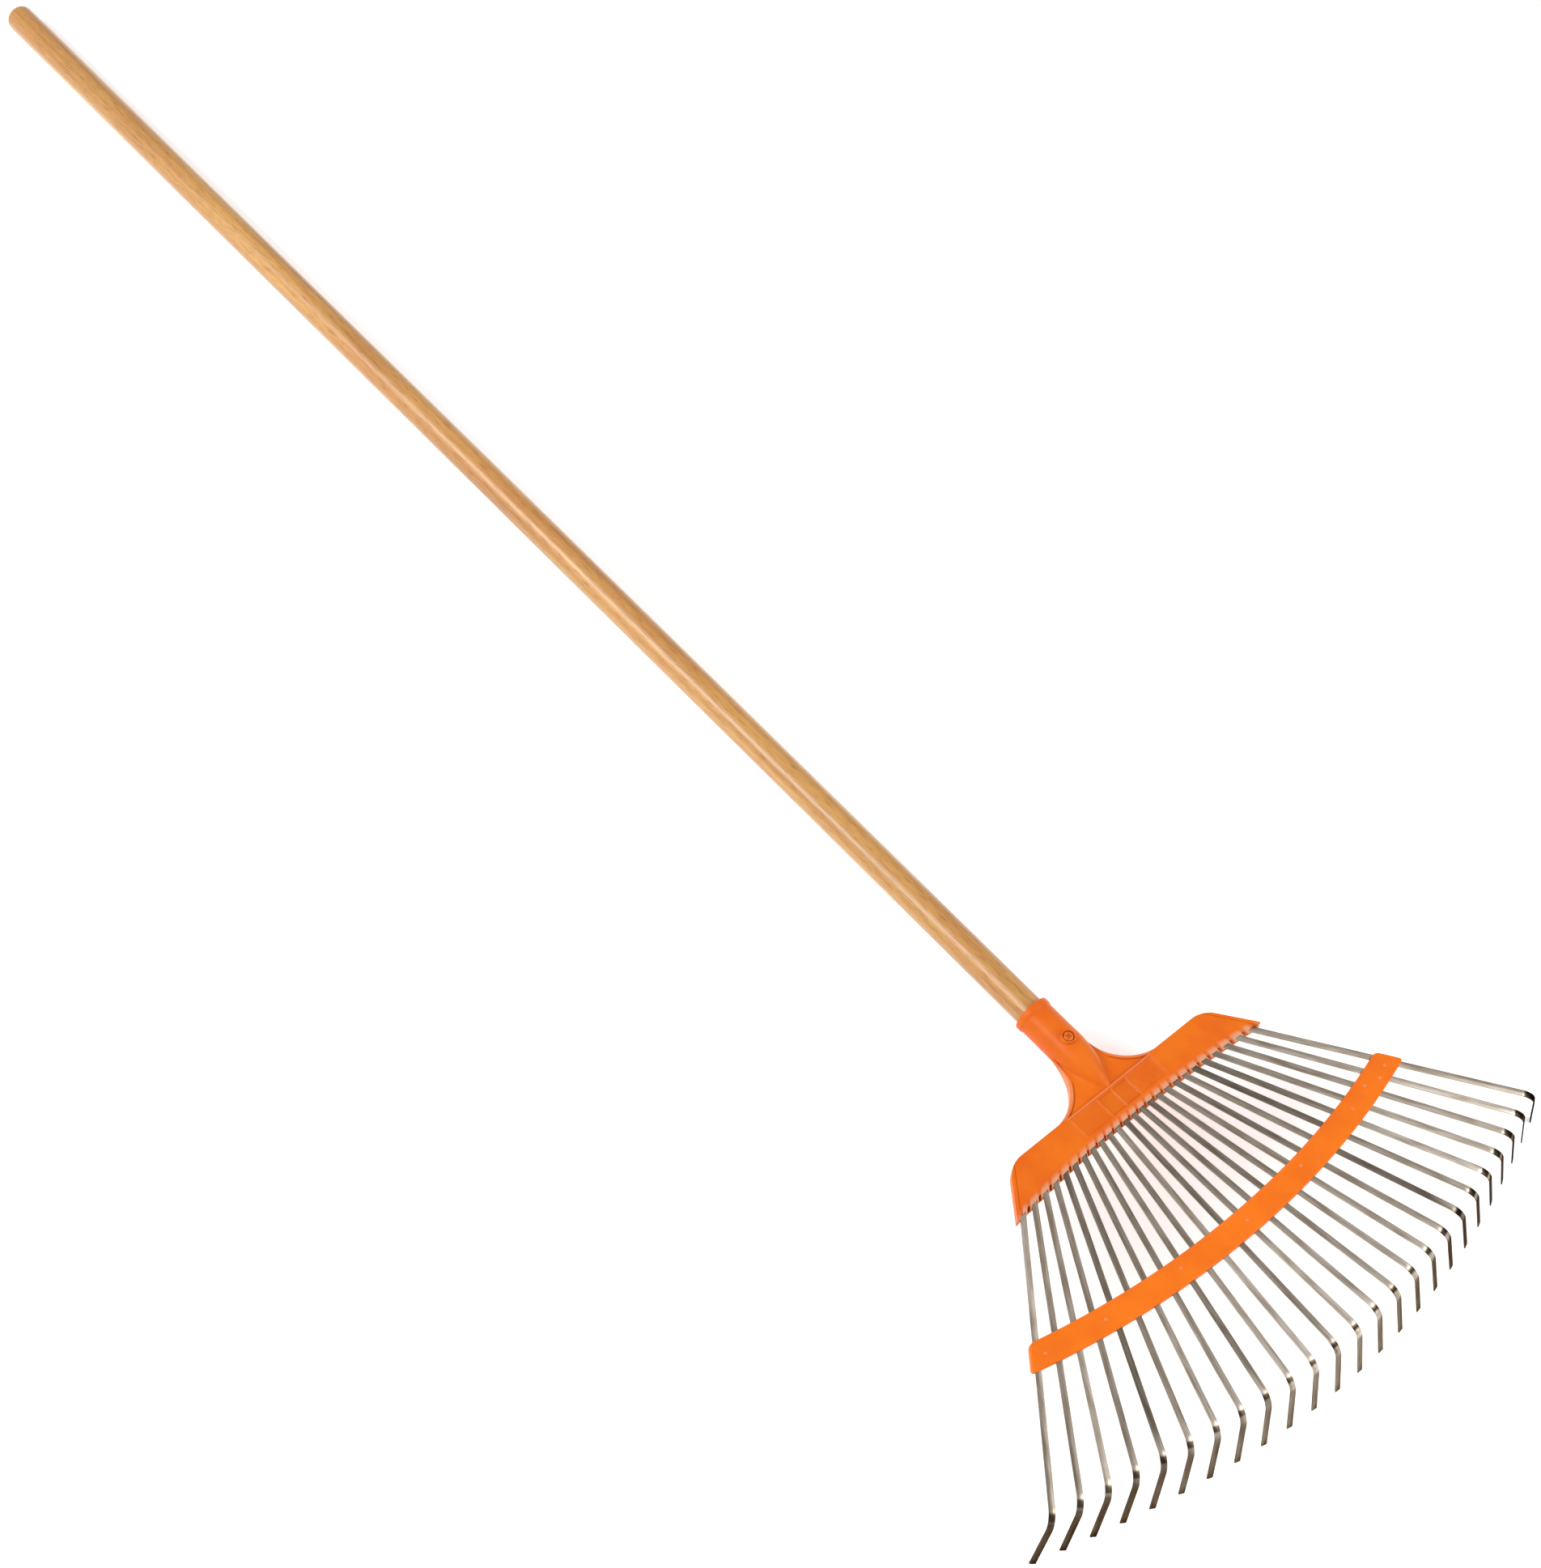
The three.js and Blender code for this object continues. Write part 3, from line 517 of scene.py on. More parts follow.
def web_shell():
    """The web, carried along the handle's line. Each section is mirrored in y: the cone's arc, a
    hollow fillet tangent to it, the flat top with a fine groove and a bead along its edge, a rounded
    corner, the outer wall, and below it a hollow between the wall and a middle body. The plan outline
    is an arc of WEB_FILLET_R, and behind it the web thins out into the socket."""
    behind = np.linspace(-16, WEB_HOLLOW_TURN - 0.1, 44)
    ahead = np.linspace(WEB_HOLLOW_TURN + 0.1, 90, 56)
    turn = np.radians(np.concatenate([behind, ahead]))[:, None]
    x = BAR_BACK_X - WEB_FILLET_R + WEB_FILLET_R * np.sin(turn)
    turn = np.maximum(turn, 0)
    in_x, in_y = np.sin(turn), -np.cos(turn)                  # plan direction into the plastic
    axis_z = (HANDLE_MEETS_PLANE_X - x) * math.tan(HANDLE_PITCH)
    cone_r = np.interp(x, cone_line[:, 0], cone_line[:, 1]) - 0.12 + 0.24 * step(x, -28, -22)
    cone_r = np.maximum(cone_r, WEB_TOP_Z - axis_z)
    out_y = WEB_ROOT_Y + WEB_FILLET_R - WEB_FILLET_R * np.cos(turn)
    blend = 3.0 * step(x, -46, -22)
    out_y = 0.5 * (out_y + cone_r + np.sqrt((out_y - cone_r) ** 2 + blend**2))
    bottom = BAR_BOTTOM_Z + 7.3 * (1 - step(x, -46, -12))

    fillet_r = np.clip(0.42 * (out_y - cone_r), 0.05, 6.0)
    lift = np.minimum(WEB_TOP_Z + fillet_r - axis_z, cone_r + fillet_r)
    fillet_y = np.sqrt(np.maximum((cone_r + fillet_r) ** 2 - lift**2, 0))
    meet = np.arctan2(fillet_y, lift)
    edge = 1.1
    fillet_y = np.minimum(fillet_y, out_y - edge - 0.1)
    arc_turn = np.minimum(meet, np.arcsin(np.clip(fillet_y / cone_r, 0, 1))) * np.linspace(0, 1, 12)
    arc_y, arc_z = cone_r * np.sin(arc_turn), axis_z + cone_r * np.cos(arc_turn)
    fillet_turn = meet * np.linspace(1, 0, 10)[1:]
    round_y = fillet_y - fillet_r * np.sin(fillet_turn)
    round_z = WEB_TOP_Z + fillet_r - fillet_r * np.cos(fillet_turn)

    showing = step(out_y - fillet_y, 3.5, 8)                  # how far the flat top has opened out
    bead = BEAD_IN / BEAD_IN[0] * np.maximum(np.minimum(BEAD_IN[0], 0.8 * (out_y - fillet_y)), edge + 0.02)
    bead_x, bead_y = x + in_x * bead, out_y + in_y * bead
    flat_share = np.linspace(0, 1, 5)[1:-1]
    flat_x = x + (bead_x[:, :1] - x) * flat_share
    flat_y = fillet_y + (bead_y[:, :1] - fillet_y) * flat_share

    def wall(depth):
        return x + in_x * depth, out_y + in_y * depth

    bend = np.radians(np.linspace(90, 0, 6))
    edge_x, edge_y = wall(edge * (1 - np.cos(bend)))
    low = np.radians(np.linspace(0, 90, 4))
    low_x, low_y = wall(0.5 * (1 - np.cos(low)))
    lip_x, lip_y = wall(np.array([WEB_WALL - 0.3, WEB_WALL, WEB_WALL, WEB_WALL + 0.5]))
    hollow = turn > math.radians(WEB_HOLLOW_TURN)
    ceiling = bottom + (WEB_TOP_Z - WEB_WALL - bottom) * hollow
    lip_z = np.concatenate([bottom, bottom + 0.3 * hollow, ceiling - 0.5 * hollow, ceiling], 1)
    middle = np.minimum(12.0, out_y - WEB_WALL - 0.6)
    core_y = np.concatenate([middle + 0.5, middle, middle, middle - 0.3], 1)
    core_z = np.concatenate([ceiling, ceiling - 0.5 * hollow, bottom, bottom], 1)

    stretches = [
        (x, arc_y, arc_z), (x, round_y, round_z), (flat_x, flat_y, WEB_TOP_Z),
        (bead_x, bead_y, WEB_TOP_Z + BEAD_LIFT * showing),
        (edge_x, edge_y, WEB_TOP_Z - edge + edge * np.sin(bend)),
        (low_x, low_y, bottom + 0.5 - 0.5 * np.sin(low)), (lip_x, lip_y, lip_z), (x, core_y, core_z)]
    right = np.concatenate([np.stack(np.broadcast_arrays(*s), -1) for s in stretches], 1)
    left = right[:, :0:-1] * (1, -1, 1)

    bead_at = arc_y.shape[1] + round_y.shape[1] + flat_y.shape[1]
    wall_at = bead_at + len(BEAD_IN) - 1
    deep, thin = np.zeros(right.shape[:2]), np.zeros(right.shape[:2])
    # Painted shade in the fine groove before the bead.
    deep[:, bead_at + 1:bead_at + 3] = 0.3 * showing
    # Painted highlight along the bead.
    thin[:, wall_at - 2:wall_at] = 0.22 * showing
    # Painted reflection of the pale floor on the rounded corner and outer wall, fading out towards the
    # socket.
    thin[:, wall_at:wall_at + 10] = 0.45 * step(x, -34, -22)

    def both_sides(values):
        return np.concatenate([values, values[:, :0:-1]], 1)

    return shell(np.concatenate([right, left], 1), deep=both_sides(deep), thin=both_sides(thin))


def rib_shell(y):
    """A thin wall across the hollow of the web, a plain board with softened edges."""
    half, top, r = 1.0, 3.0, 0.3
    foot = BAR_BOTTOM_Z + r
    board = np.concatenate([corner(half - r, foot, r, 0, -90, 3), corner(r - half, foot, r, -90, -180, 3),
                            [(-half, top), (half, top)]])
    off_centre = WEB_ROOT_Y + WEB_FILLET_R - abs(y)
    outline_x = BAR_BACK_X - WEB_FILLET_R + math.sqrt(WEB_FILLET_R**2 - off_centre**2)
    x = np.array([outline_x + 1.2, BAR_BACK_X + 1.5])[:, None]
    return shell(np.stack(np.broadcast_arrays(x, y + board[:, 0], board[:, 1]), -1))


# ---- head: bar -------------------------------------------------------------------------------------------

def front_x(y):
    return 34.5 + 7 * (y / 125) ** 2


def fan_columns(near, shares, s):
    """Columns across the fan at distance s(u) from the roots: at each tine at the offsets `near`, and
    then at `shares` of the way on to the middle of the gap. Gives u, the offset to the nearest tine
    and half the pitch there."""
    fine = np.linspace(-1, 1, 4001)
    line = in_fan(s(fine), 0.0, 0.0, fine)
    length = np.concatenate([[0], np.cumsum(np.linalg.norm(np.diff(line, axis=0), axis=1))])
    centres = np.interp(tine_u, fine, length)
    pitch = np.diff(centres) / 2
    offsets = np.concatenate([np.broadcast_to(near, (len(pitch), len(near))),
                              near[-1] + (pitch[:, None] - near[-1]) * shares], 1)
    rising = centres[:-1, None] + offsets
    falling = (centres[1:, None] - offsets)[:, ::-1][:, 1:]
    place = np.concatenate([np.concatenate([rising, falling], 1)[:, :-1].ravel(), [length[-1]]])
    off = np.concatenate([np.concatenate([offsets, offsets[:, ::-1][:, 1:]], 1)[:, :-1].ravel(), [0.0]])
    wide = np.concatenate([np.repeat(pitch, 2 * offsets.shape[1] - 2), [pitch[-1]]])
    return np.interp(place, length, fine), off, wide


def column_lines(u, beyond):
    """The plan line of each column, y = start + x * lean; `beyond` moves it out past the outermost tine."""
    return root_y(u) + beyond, np.tan(fan_angle(u))


def plan_back(start, lean):
    """Where a column meets the bar's outline behind: the straight back, or the rounded corner."""
    corner_y = BAR_END[1] - (BAR_END[0] - BAR_BACK_X) * math.tan(math.radians(FAN_ANGLE))
    cy = corner_y - BAR_CORNER_R * math.tan(math.radians(90 - FAN_ANGLE) / 2)
    cx = BAR_BACK_X + BAR_CORNER_R
    start, lean = np.abs(start), np.abs(lean)
    a = 1 + lean**2
    b = lean * (start - cy) - cx
    c = cx**2 + (start - cy) ** 2 - BAR_CORNER_R**2
    on_arc = (-b - np.sqrt(np.maximum(b * b - a * c, 0))) / a
    return np.where(start + BAR_BACK_X * lean > cy, np.maximum(on_arc, BAR_BACK_X), BAR_BACK_X)


def plan_front(start, lean):
    """Where a column meets the bar's front edge, found by going back and forth between the two."""
    x = np.full_like(start, 37.0)
    for _ in range(6):
        x = front_x(start + x * lean)
    return x


def inset(section, depth):
    """Draws a closed section in by depth, along the normals of its own outline."""
    along = np.roll(section, -1, 1) - np.roll(section, 1, 1)
    normal = np.stack([-along[..., 1], along[..., 0]], -1)
    normal /= np.maximum(np.linalg.norm(normal, axis=-1, keepdims=True), 1e-9)
    return section + normal * depth[:, None, None]


BAR_SIDE = 6.54                       # from the outermost tine's line to the bar's end, along y
CAP_R = 0.8
END_GROOVE = 2.7                      # beyond the outermost tine's line
# x of the top's columns: the ridge's slopes, then the panels between their back and front edges.
TOP_X = np.array([7.15, 7.35, 7.6, 7.9, 8.3, 8.6, 8.85, 9.05, 9.6, 9.9, 10.2, 10.5, 13, 16, 19, 22, 25,
                  26.4, 26.7, 27.0, 27.5])
TOP_FRONT_X = 26.95                   # in front of this the top's lines follow the front edge
# Down the lip from the top's edge, with rows at the upper and lower edges of the tines' slots.
LIP_Z = np.array([4.9, 4.55, 4.0, 3.3, 2.6, 1.9, 1.3, 1.0, 0.86, 0.0, -0.7])
SLEEVE_RISE = 0.55
NOTCH_DEPTH = 1.9


def bar_columns():
    """u, the offset beyond the outermost tines, how far each end's rounding draws the section in, the
    offset to the nearest tine and half the pitch, from one end of the bar to the other."""
    near = np.array([0, 1.3, 2.0, 2.6, 2.74, 2.84])
    u, off, wide = fan_columns(near, np.array([0.25, 0.5, 0.7, 0.8, 0.9, 1.0]), exit_s)
    turn = np.radians(np.linspace(0, 90, 6))
    flat_part = np.array([1.0, 2.0, 2.3, END_GROOVE, 3.1, 3.6, 4.6])
    cap = BAR_SIDE - CAP_R * (1 - np.sin(turn)) / math.cos(math.radians(FAN_ANGLE))
    out = np.concatenate([flat_part, cap])
    drawn = np.concatenate([np.zeros(len(flat_part)), CAP_R * (1 - np.cos(turn))])
    ones = np.ones(len(out))
    return (np.concatenate([-ones, u, ones]), np.concatenate([-out[::-1], 0 * u, out]),
            np.concatenate([drawn[::-1], 0 * u, drawn]),
            np.concatenate([out[::-1], off, out]), np.concatenate([5 * ones, wide, 5 * ones]))


def panels(top_y):
    """How deep the four panels in the bar's top are at each y, the two by the middle the deeper."""
    sunk = np.zeros_like(top_y)
    for left, right in zip(PANEL_EDGES, PANEL_EDGES[1:]):
        depth = 1.1 if left * right == 0 else 0.6
        sunk += depth * step(top_y, left + 0.7, left + 1.3) * (1 - step(top_y, right - 1.3, right - 0.7))
    return sunk


def bar_shell():
    """The bar, one closed section for each column of the fan. From the back it is a rounded edge, the
    top with its ridge and panels, the sloping lip, the front wall, and the recess for the retainer
    below. The lip swells into a sleeve over each tine, is open round the tine, and is notched between
    two sleeves. Past the outermost tines a fine groove runs over the top, and beyond it the lip
    gives way to an end wall that keeps the top's height up to the front edge."""
    u, beyond, drawn, off, wide = bar_columns()
    start, lean = column_lines(u, beyond)
    back, front = plan_back(start, lean)[:, None], plan_front(start, lean)[:, None]
    shift = (TOP_FRONT_X - back) / (TOP_FRONT_X - BAR_BACK_X)
    groove = 0.5 * (np.abs(np.abs(beyond) - END_GROOVE) < 0.1)[:, None]
    end_wall = step(np.abs(beyond), END_GROOVE, END_GROOVE + 0.4)[:, None]
    among_tines = (np.abs(beyond) < 0.1)[:, None]

    edge = np.radians(np.linspace(0, 90, 5))
    rear_x = back + 0.5 * (1 - np.cos(edge))
    rear_z = BAR_TOP_Z - 0.5 + 0.5 * np.sin(edge) - groove
    top_x = back + 0.55 + (TOP_X - 0.55 - BAR_BACK_X) * shift
    top_y = start[:, None] + top_x * lean[:, None]
    ridge = step(TOP_X, 7.15, 7.6) * (1 - step(TOP_X, 8.6, 9.05)) * 0.9
    ridge = ridge * (1 - step(np.abs(top_y), 41.5, 43))
    panel_front = 1 - step(TOP_X, 26.4, 27.0)
    sunk = panels(top_y) * step(TOP_X, 9.9, 10.5) * panel_front
    top_z = BAR_TOP_Z + ridge - sunk - groove
    lip_top = front - LIP_DEPTH
    fore_x = top_x[:, -1:] + (lip_top - 0.4 - top_x[:, -1:]) * np.array([0.3, 0.6, 0.85])
    fore_z = np.full_like(fore_x, BAR_TOP_Z) - groove

    fall = BAR_TOP_Z - LIP_Z
    fall_share = fall / (BAR_TOP_Z - LIP_LOW_Z)
    sleeve = (1 - step(off / wide, 0.6, 0.86))[:, None] * among_tines
    gap = step(off / wide, 0.76, 0.92)[:, None] * among_tines
    swell, bite = step(fall, 0.2, 1.6), step(fall, 3.4, 4.4)
    by_tine = (off < SLOT_HALF_WIDTH)[:, None] * (np.abs(beyond) < SLOT_HALF_WIDTH)[:, None]
    hole = by_tine * (np.abs(LIP_Z) < SLOT_HALF_HEIGHT)
    lip_x = lip_top + fall_share * LIP_DEPTH - 1.5 * hole
    lip_x += SLEEVE_RISE * sleeve * swell - NOTCH_DEPTH * gap * bite
    lip_z = LIP_Z + 0.35 * sleeve * swell - groove * (LIP_Z > 4.4)
    way = fall_share * (LIP_DEPTH + BAR_TOP_Z - LIP_LOW_Z)    # forward along the top, then down
    lip_x += end_wall * (lip_top + np.minimum(way, LIP_DEPTH) - lip_x)
    lip_z += end_wall * (BAR_TOP_Z - np.maximum(way - LIP_DEPTH, 0) - lip_z)

    pushed = SLEEVE_RISE * sleeve - NOTCH_DEPTH * gap
    nose = corner(0, 0, 0.5, 60, 0, 3)
    nose_x, nose_z = front - 0.5 + nose[:, 0] + pushed, LIP_LOW_Z - 0.5 + nose[:, 1]
    wall_x, wall_z = front + pushed * np.array([1.0, 0.7, 0.3]), np.array([-2.0, -3.2, -4.6])
    held = (np.abs(root_y(u) + beyond) < RETAINER_END_Y)[:, None]
    floor_z = np.full_like(front, BAR_BOTTOM_Z)
    roof_z = floor_z + held * (LIP_LOW_Z + 0.35 - BAR_BOTTOM_Z)
    near_roof_z = floor_z + 0.9 * (roof_z - floor_z)
    set_back = front - RETAINER_SETBACK
    rest_x = back + (RETAINER_BACK_X - BAR_BACK_X) * shift
    under = [
        (front - 0.3, floor_z), (set_back + 0.1, floor_z), (set_back, near_roof_z),
        (set_back - 0.3, roof_z), (set_back - 5, roof_z), ((set_back + rest_x) / 2, roof_z),
        (rest_x + 4, roof_z), (rest_x + 0.3, roof_z), (rest_x, near_roof_z), (rest_x - 0.1, floor_z),
        (back + 0.8, floor_z), (back + 0.25, floor_z + 0.25), (back, floor_z + 0.8)]

    stretches = [(rear_x, rear_z), (top_x, top_z), (fore_x, fore_z), (lip_x, lip_z), (nose_x, nose_z),
                 (wall_x, wall_z)] + under
    section = np.concatenate([np.stack(np.broadcast_arrays(*s), -1) for s in stretches], 1)
    section = inset(section, -drawn)
    x, z = section[..., 0], section[..., 1]
    y = start[:, None] + x * lean[:, None]

    top_at = rear_x.shape[1]
    lip_at = top_at + top_x.shape[1] + fore_x.shape[1]
    nose_at = lip_at + lip_x.shape[1]
    on_bar = (np.abs(top_y) < 42) * (1 - np.minimum(sunk / 0.5, 1)) * step(TOP_X, 9.6, 10.2) * panel_front
    thin, deep = np.zeros_like(x), np.zeros_like(x)
    # Painted highlight on the ridge and, faintly, on the unsunk top between the panels.
    thin[:, top_at:top_at + len(TOP_X)] = 0.3 * np.minimum(ridge / 0.6, 1) + 0.1 * on_bar
    # Painted highlight on the lip, strongest on the sleeves, and on the sleeves' nose below it.
    thin[:, lip_at:nose_at] = 0.95 * (0.2 + 0.8 * sleeve) * step(fall, 0.5, 2.4)
    thin[:, nose_at:nose_at + 2] = 0.6 * sleeve
    # Painted shade in the panels, the end grooves, the notches between sleeves and the slots round the tines.
    deep[:, top_at:top_at + len(TOP_X)] = 0.06 * np.minimum(sunk / 0.6, 1.8) + 0.5 * groove
    deep[:, lip_at - 3:lip_at] = 0.5 * groove
    deep[:, lip_at:nose_at] = np.maximum(0.7 * gap * bite, 0.9 * hole)
    deep[:, nose_at:nose_at + 5] = 0.7 * gap
    return shell(np.stack([x, y, z], -1), thin=thin, deep=deep)


def make_head(material):
    shells = [socket_shell(), web_shell(), bar_shell(), boss_shell(),
              rib_shell(WEB_RIB_Y), rib_shell(-WEB_RIB_Y)]
    return make_piece("moulded_head", shells, material, ["head"])


# ---- retainer ---------------------------------------------------------------------------------------------

def make_retainer(material):
    """The strip under the bar, one section for each column of the fan, a clearance smaller than its
    recess all round. The section's front edges are rounded, and its back edge is folded in by the
    same depth."""
    u = np.linspace(-0.995, 0.995, 161)
    start, lean = column_lines(u, 0.0)
    keep = np.abs(start) < RETAINER_END_Y - 0.9
    start, lean = start[keep], lean[keep]
    front = plan_front(start, lean)[:, None] - RETAINER_SETBACK - RETAINER_PLAY
    back = np.full_like(front, RETAINER_BACK_X + RETAINER_PLAY)
    low, high, edge = BAR_BOTTOM_Z, LIP_LOW_Z, 0.5
    turn = np.radians(np.linspace(0, 90, 4))
    opening, closing = edge * (1 - np.cos(turn)), edge * (1 - np.cos(turn[::-1]))
    sinking = edge * (1 - np.sin(turn))
    x = np.concatenate([back + sinking, front - closing, front - opening, back + closing], 1)
    z = np.concatenate([np.full(len(turn), high), high - sinking[::-1], low + sinking, low + opening])
    y = start[:, None] + x * lean[:, None]
    strip = shell(np.stack([x, y, np.broadcast_to(z, x.shape)], -1))
    return make_piece("retainer_strip", [strip], material, ["tine_retainer"])


# ---- tines -------------------------------------------------------------------------------------------------

def strip_section(width, thickness, r):
    """A flat bar's section with rounded edges: (across, up) round it."""
    x, y = width / 2 - r, thickness / 2 - r
    return np.concatenate([corner(x, y, r, 0, 90, 3), corner(-x, y, r, 90, 180, 3),
                           corner(-x, -y, r, 180, 270, 3), corner(x, -y, r, 270, 360, 3)])


def tine_line(u):
    """The middle line of a tine seen from the side, and its direction: hook, root, sloping shank, bend
    and straight tip."""
    sl = slope(u)
    along = np.array([math.cos(sl), -math.sin(sl)])
    tipward = sl + BEND_ANGLE
    down = np.array([math.cos(tipward), -math.sin(tipward)])
    bend_corner = np.array([reach(u), -drop(u)])
    bend_start = bend_corner - along * BEND_R * math.tan(BEND_ANGLE / 2)
    centre = bend_start + BEND_R * np.array([along[1], -along[0]])
    from_angle = 90 - math.degrees(sl)
    bend = corner(centre[0], centre[1], BEND_R, from_angle, from_angle - math.degrees(BEND_ANGLE), 17)
    exit_point = np.array([exit_s(u), 0.0])
    shank = exit_point + (bend_start - exit_point) * np.linspace(0, 1, 14)[:-1, None]
    tip = bend_corner + down * (TIP_LENGTH + 2.2 * u**2)
    last = bend[-1] + (tip - bend[-1]) * np.array([0.4, 0.8, 1.0])[:, None]
    hook = np.concatenate([[(HOOK_S, HOOK_HEIGHT)], corner(HOOK_S + HOOK_R, HOOK_R, HOOK_R, 180, 270, 4)])
    line = np.concatenate([hook, shank, bend, last])
    ahead = unit(np.diff(line, axis=0))
    return line, unit(np.concatenate([ahead[:1], ahead[:-1] + ahead[1:], ahead[-1:]]))


def make_tine(number, u, pale_at_head, pale_at_bend, material):
    """A flat spring strip: a rounded section carried along tine_line, square cut at the tip with the
    burr taken off. A highlight is painted into the steel where the bend begins, a band of painted
    shade lies across the bend, and painted shade darkens the tips, most at the outer tines."""
    line, ahead = tine_line(u)
    section = strip_section(TINE_WIDTH, TINE_THICKNESS, 0.3)
    up = np.stack([-ahead[:, 1], ahead[:, 0]], -1)
    cut = line[-1] - ahead[-1] * 0.2
    line = np.concatenate([line[:-1], [cut, line[-1]]])
    up = np.concatenate([up, up[-1:]])
    size = np.ones((len(line), 1))
    size[-1] = 0.9
    across, height = section[:, 0] * size, section[:, 1] * size
    points = in_fan(line[:, :1] + height * up[:, :1], across, line[:, 1:] + height * up[:, 1:], u)

    run = np.concatenate([[0], np.cumsum(np.linalg.norm(np.diff(line, axis=0), axis=1))])
    bend_end = run[-5]
    into_bend = run - (bend_end - BEND_R * BEND_ANGLE)
    left, right = max(u, 0), max(-u, 0)
    # Painted shade: a dark band across the bend.
    band = 1.6 + 3.2 * left**2 + 1.5 * right**2
    painted_steel_shade = (1 - 0.5 * right) * (1 - step(np.abs(into_bend - 6.9), band - 0.9, band + 0.9))
    # Painted shade over the tips, most at the outer tines.
    tipward = step(into_bend, 13 - 5 * abs(u), 17 - 4 * abs(u))
    painted_tip_shade = (0.18 + 0.42 * abs(u) + 0.16 * left) * tipward
    # Painted highlight where the bend begins, strongest on the middle tines.
    painted_bend_highlight = step(into_bend, -5, 0) * (1 - step(into_bend, 2.5, 5)) * (1 - u**2)
    pale = pale_at_head + (pale_at_bend - pale_at_head) * step(run, 90, 190)
    # pale is brightened here by the painted highlight at the bend and drawn to a middle tone at the tips.
    pale = pale + (1.0 - pale) * 0.8 * painted_bend_highlight + (0.5 - pale) * tipward

    def along_tine(values):
        return np.broadcast_to(values[:, None], across.shape)

    body = shell(points, along=along_tine(run + 400 * number), across=across, pale=along_tine(pale),
                 blueing=along_tine(np.maximum(painted_steel_shade, painted_tip_shade)))
    node = f"tine_{number:02d}"
    return make_piece(f"spring_{node}", [body], material, [node])


# ---- brace ----------------------------------------------------------------------------------------------

def brace_s(u):
    return 144.3 + 13 * u**2 - 6 * u**4


def brace_place(u):
    """The brace's middle line at u, on the sloping shank of the tine there."""
    sunk = np.tan(slope(u)) * (brace_s(u) - exit_s(u))
    return in_fan(brace_s(u), 0.0, -sunk, u)


def brace_axes(u):
    """Along the tine at u, and up off its upper face."""
    sl = slope(u)
    along = in_fan(np.cos(sl), 0.0, -np.sin(sl), u) - in_fan(0.0 * u, 0.0, 0.0, u)
    up = in_fan(np.sin(sl), 0.0, np.cos(sl), u) - in_fan(0.0 * u, 0.0, 0.0, u)
    return along, up


def brace_section():
    """Round the brace's section, (along the tines, up), from the front of its underside: the front
    face, the top with columns for its fine groove, the back face and the underside."""
    high, half, edge = BRACE_THICKNESS / 2, BRACE_WIDTH / 2, 1.1
    face = np.array([1.2, 0.95, 0.88, 0.0, -0.88, -0.95, -1.2])
    top = np.array([8.0, 6.0, 2.0, -2.0, -6.0, -7.4, -7.7, -8.0, -8.3, -8.6])
    return np.concatenate([
        corner(half - edge, edge - high, edge, -90, 0, 5)[:-1], np.stack([np.full(7, half), -face], -1),
        corner(half - edge, high - edge, edge, 0, 90, 5)[1:], np.stack([top, np.full(len(top), high)], -1),
        corner(edge - half, high - edge, edge, 90, 180, 5)[:-1], np.stack([np.full(7, -half), face], -1),
        corner(edge - half, edge - high, edge, 180, 270, 5)[1:], [(-5, -high), (0, -high), (5, -high)]])


def brace_shell():
    """The brace, one rounded section for each column of the fan, with a slot round each tine on its
    front and back faces, a fine groove near its back edge and rounded ends along the outermost
    tines."""
    near = np.array([0, 1.4, 2.2, 2.62, 2.74, 2.84, 3.4])
    u, off, _ = fan_columns(near, np.array([0.4, 1.0]), brace_s)
    turn = np.radians(np.linspace(0, 90, 7))
    cap, plan_r, half = 1.1, 3.4, BRACE_WIDTH / 2
    flat_part = np.array([1.0, 1.6, 1.8, 2.1, 2.5, 2.9, 3.3, 3.6])
    out = np.concatenate([flat_part, BRACE_MARGIN - cap * (1 - np.sin(turn))])
    drawn = np.concatenate([np.zeros(len(flat_part)), cap * (1 - np.cos(turn))])
    ones = np.ones(len(out))
    u = np.concatenate([-ones, u, ones])
    beyond = np.concatenate([-out[::-1], 0 * off, out])
    drawn = np.concatenate([drawn[::-1], 0 * off, drawn])
    off = np.concatenate([out[::-1], off, out])

    section = np.repeat(brace_section()[None], len(u), 0)
    by_tine = (off < SLOT_HALF_WIDTH)[:, None] & (np.abs(section[..., 1]) < SLOT_HALF_HEIGHT)
    slot = by_tine & (np.abs(section[..., 0]) > half - 0.01)
    section[..., 0] -= np.sign(section[..., 0]) * slot * 1.4
    on_top = section[..., 1] > BRACE_THICKNESS / 2 - 0.001
    line = on_top * step(section[..., 0], -8.4, -8.0) * (1 - step(section[..., 0], -8.0, -7.6))
    section[..., 1] -= 0.28 * line
    section = inset(section, drawn)
    inside = np.clip(plan_r - (BRACE_MARGIN - np.abs(beyond)), 0, plan_r * 0.96)
    section[..., 0] *= 1 - (plan_r - np.sqrt(plan_r**2 - inside**2))[:, None] / half

    along, up = brace_axes(u)
    fine = np.linspace(-1, 1, 2001)
    tangent = unit(np.gradient(brace_place(fine), axis=0))
    tangent = np.stack([np.interp(u, fine, tangent[:, k]) for k in range(3)], -1)
    sheer = np.sqrt(1 - np.clip(np.einsum("ij,ij->i", tangent, along), -1, 1) ** 2)[:, None]
    middle = brace_place(u) + tangent * beyond[:, None] / sheer
    points = (middle[:, None] + (section[..., 0] / sheer)[..., None] * along[:, None]
              + section[..., 1][..., None] * up[:, None])
    # Painted shade in the slots round the tines.
    return shell(points, deep=slot * 0.85)


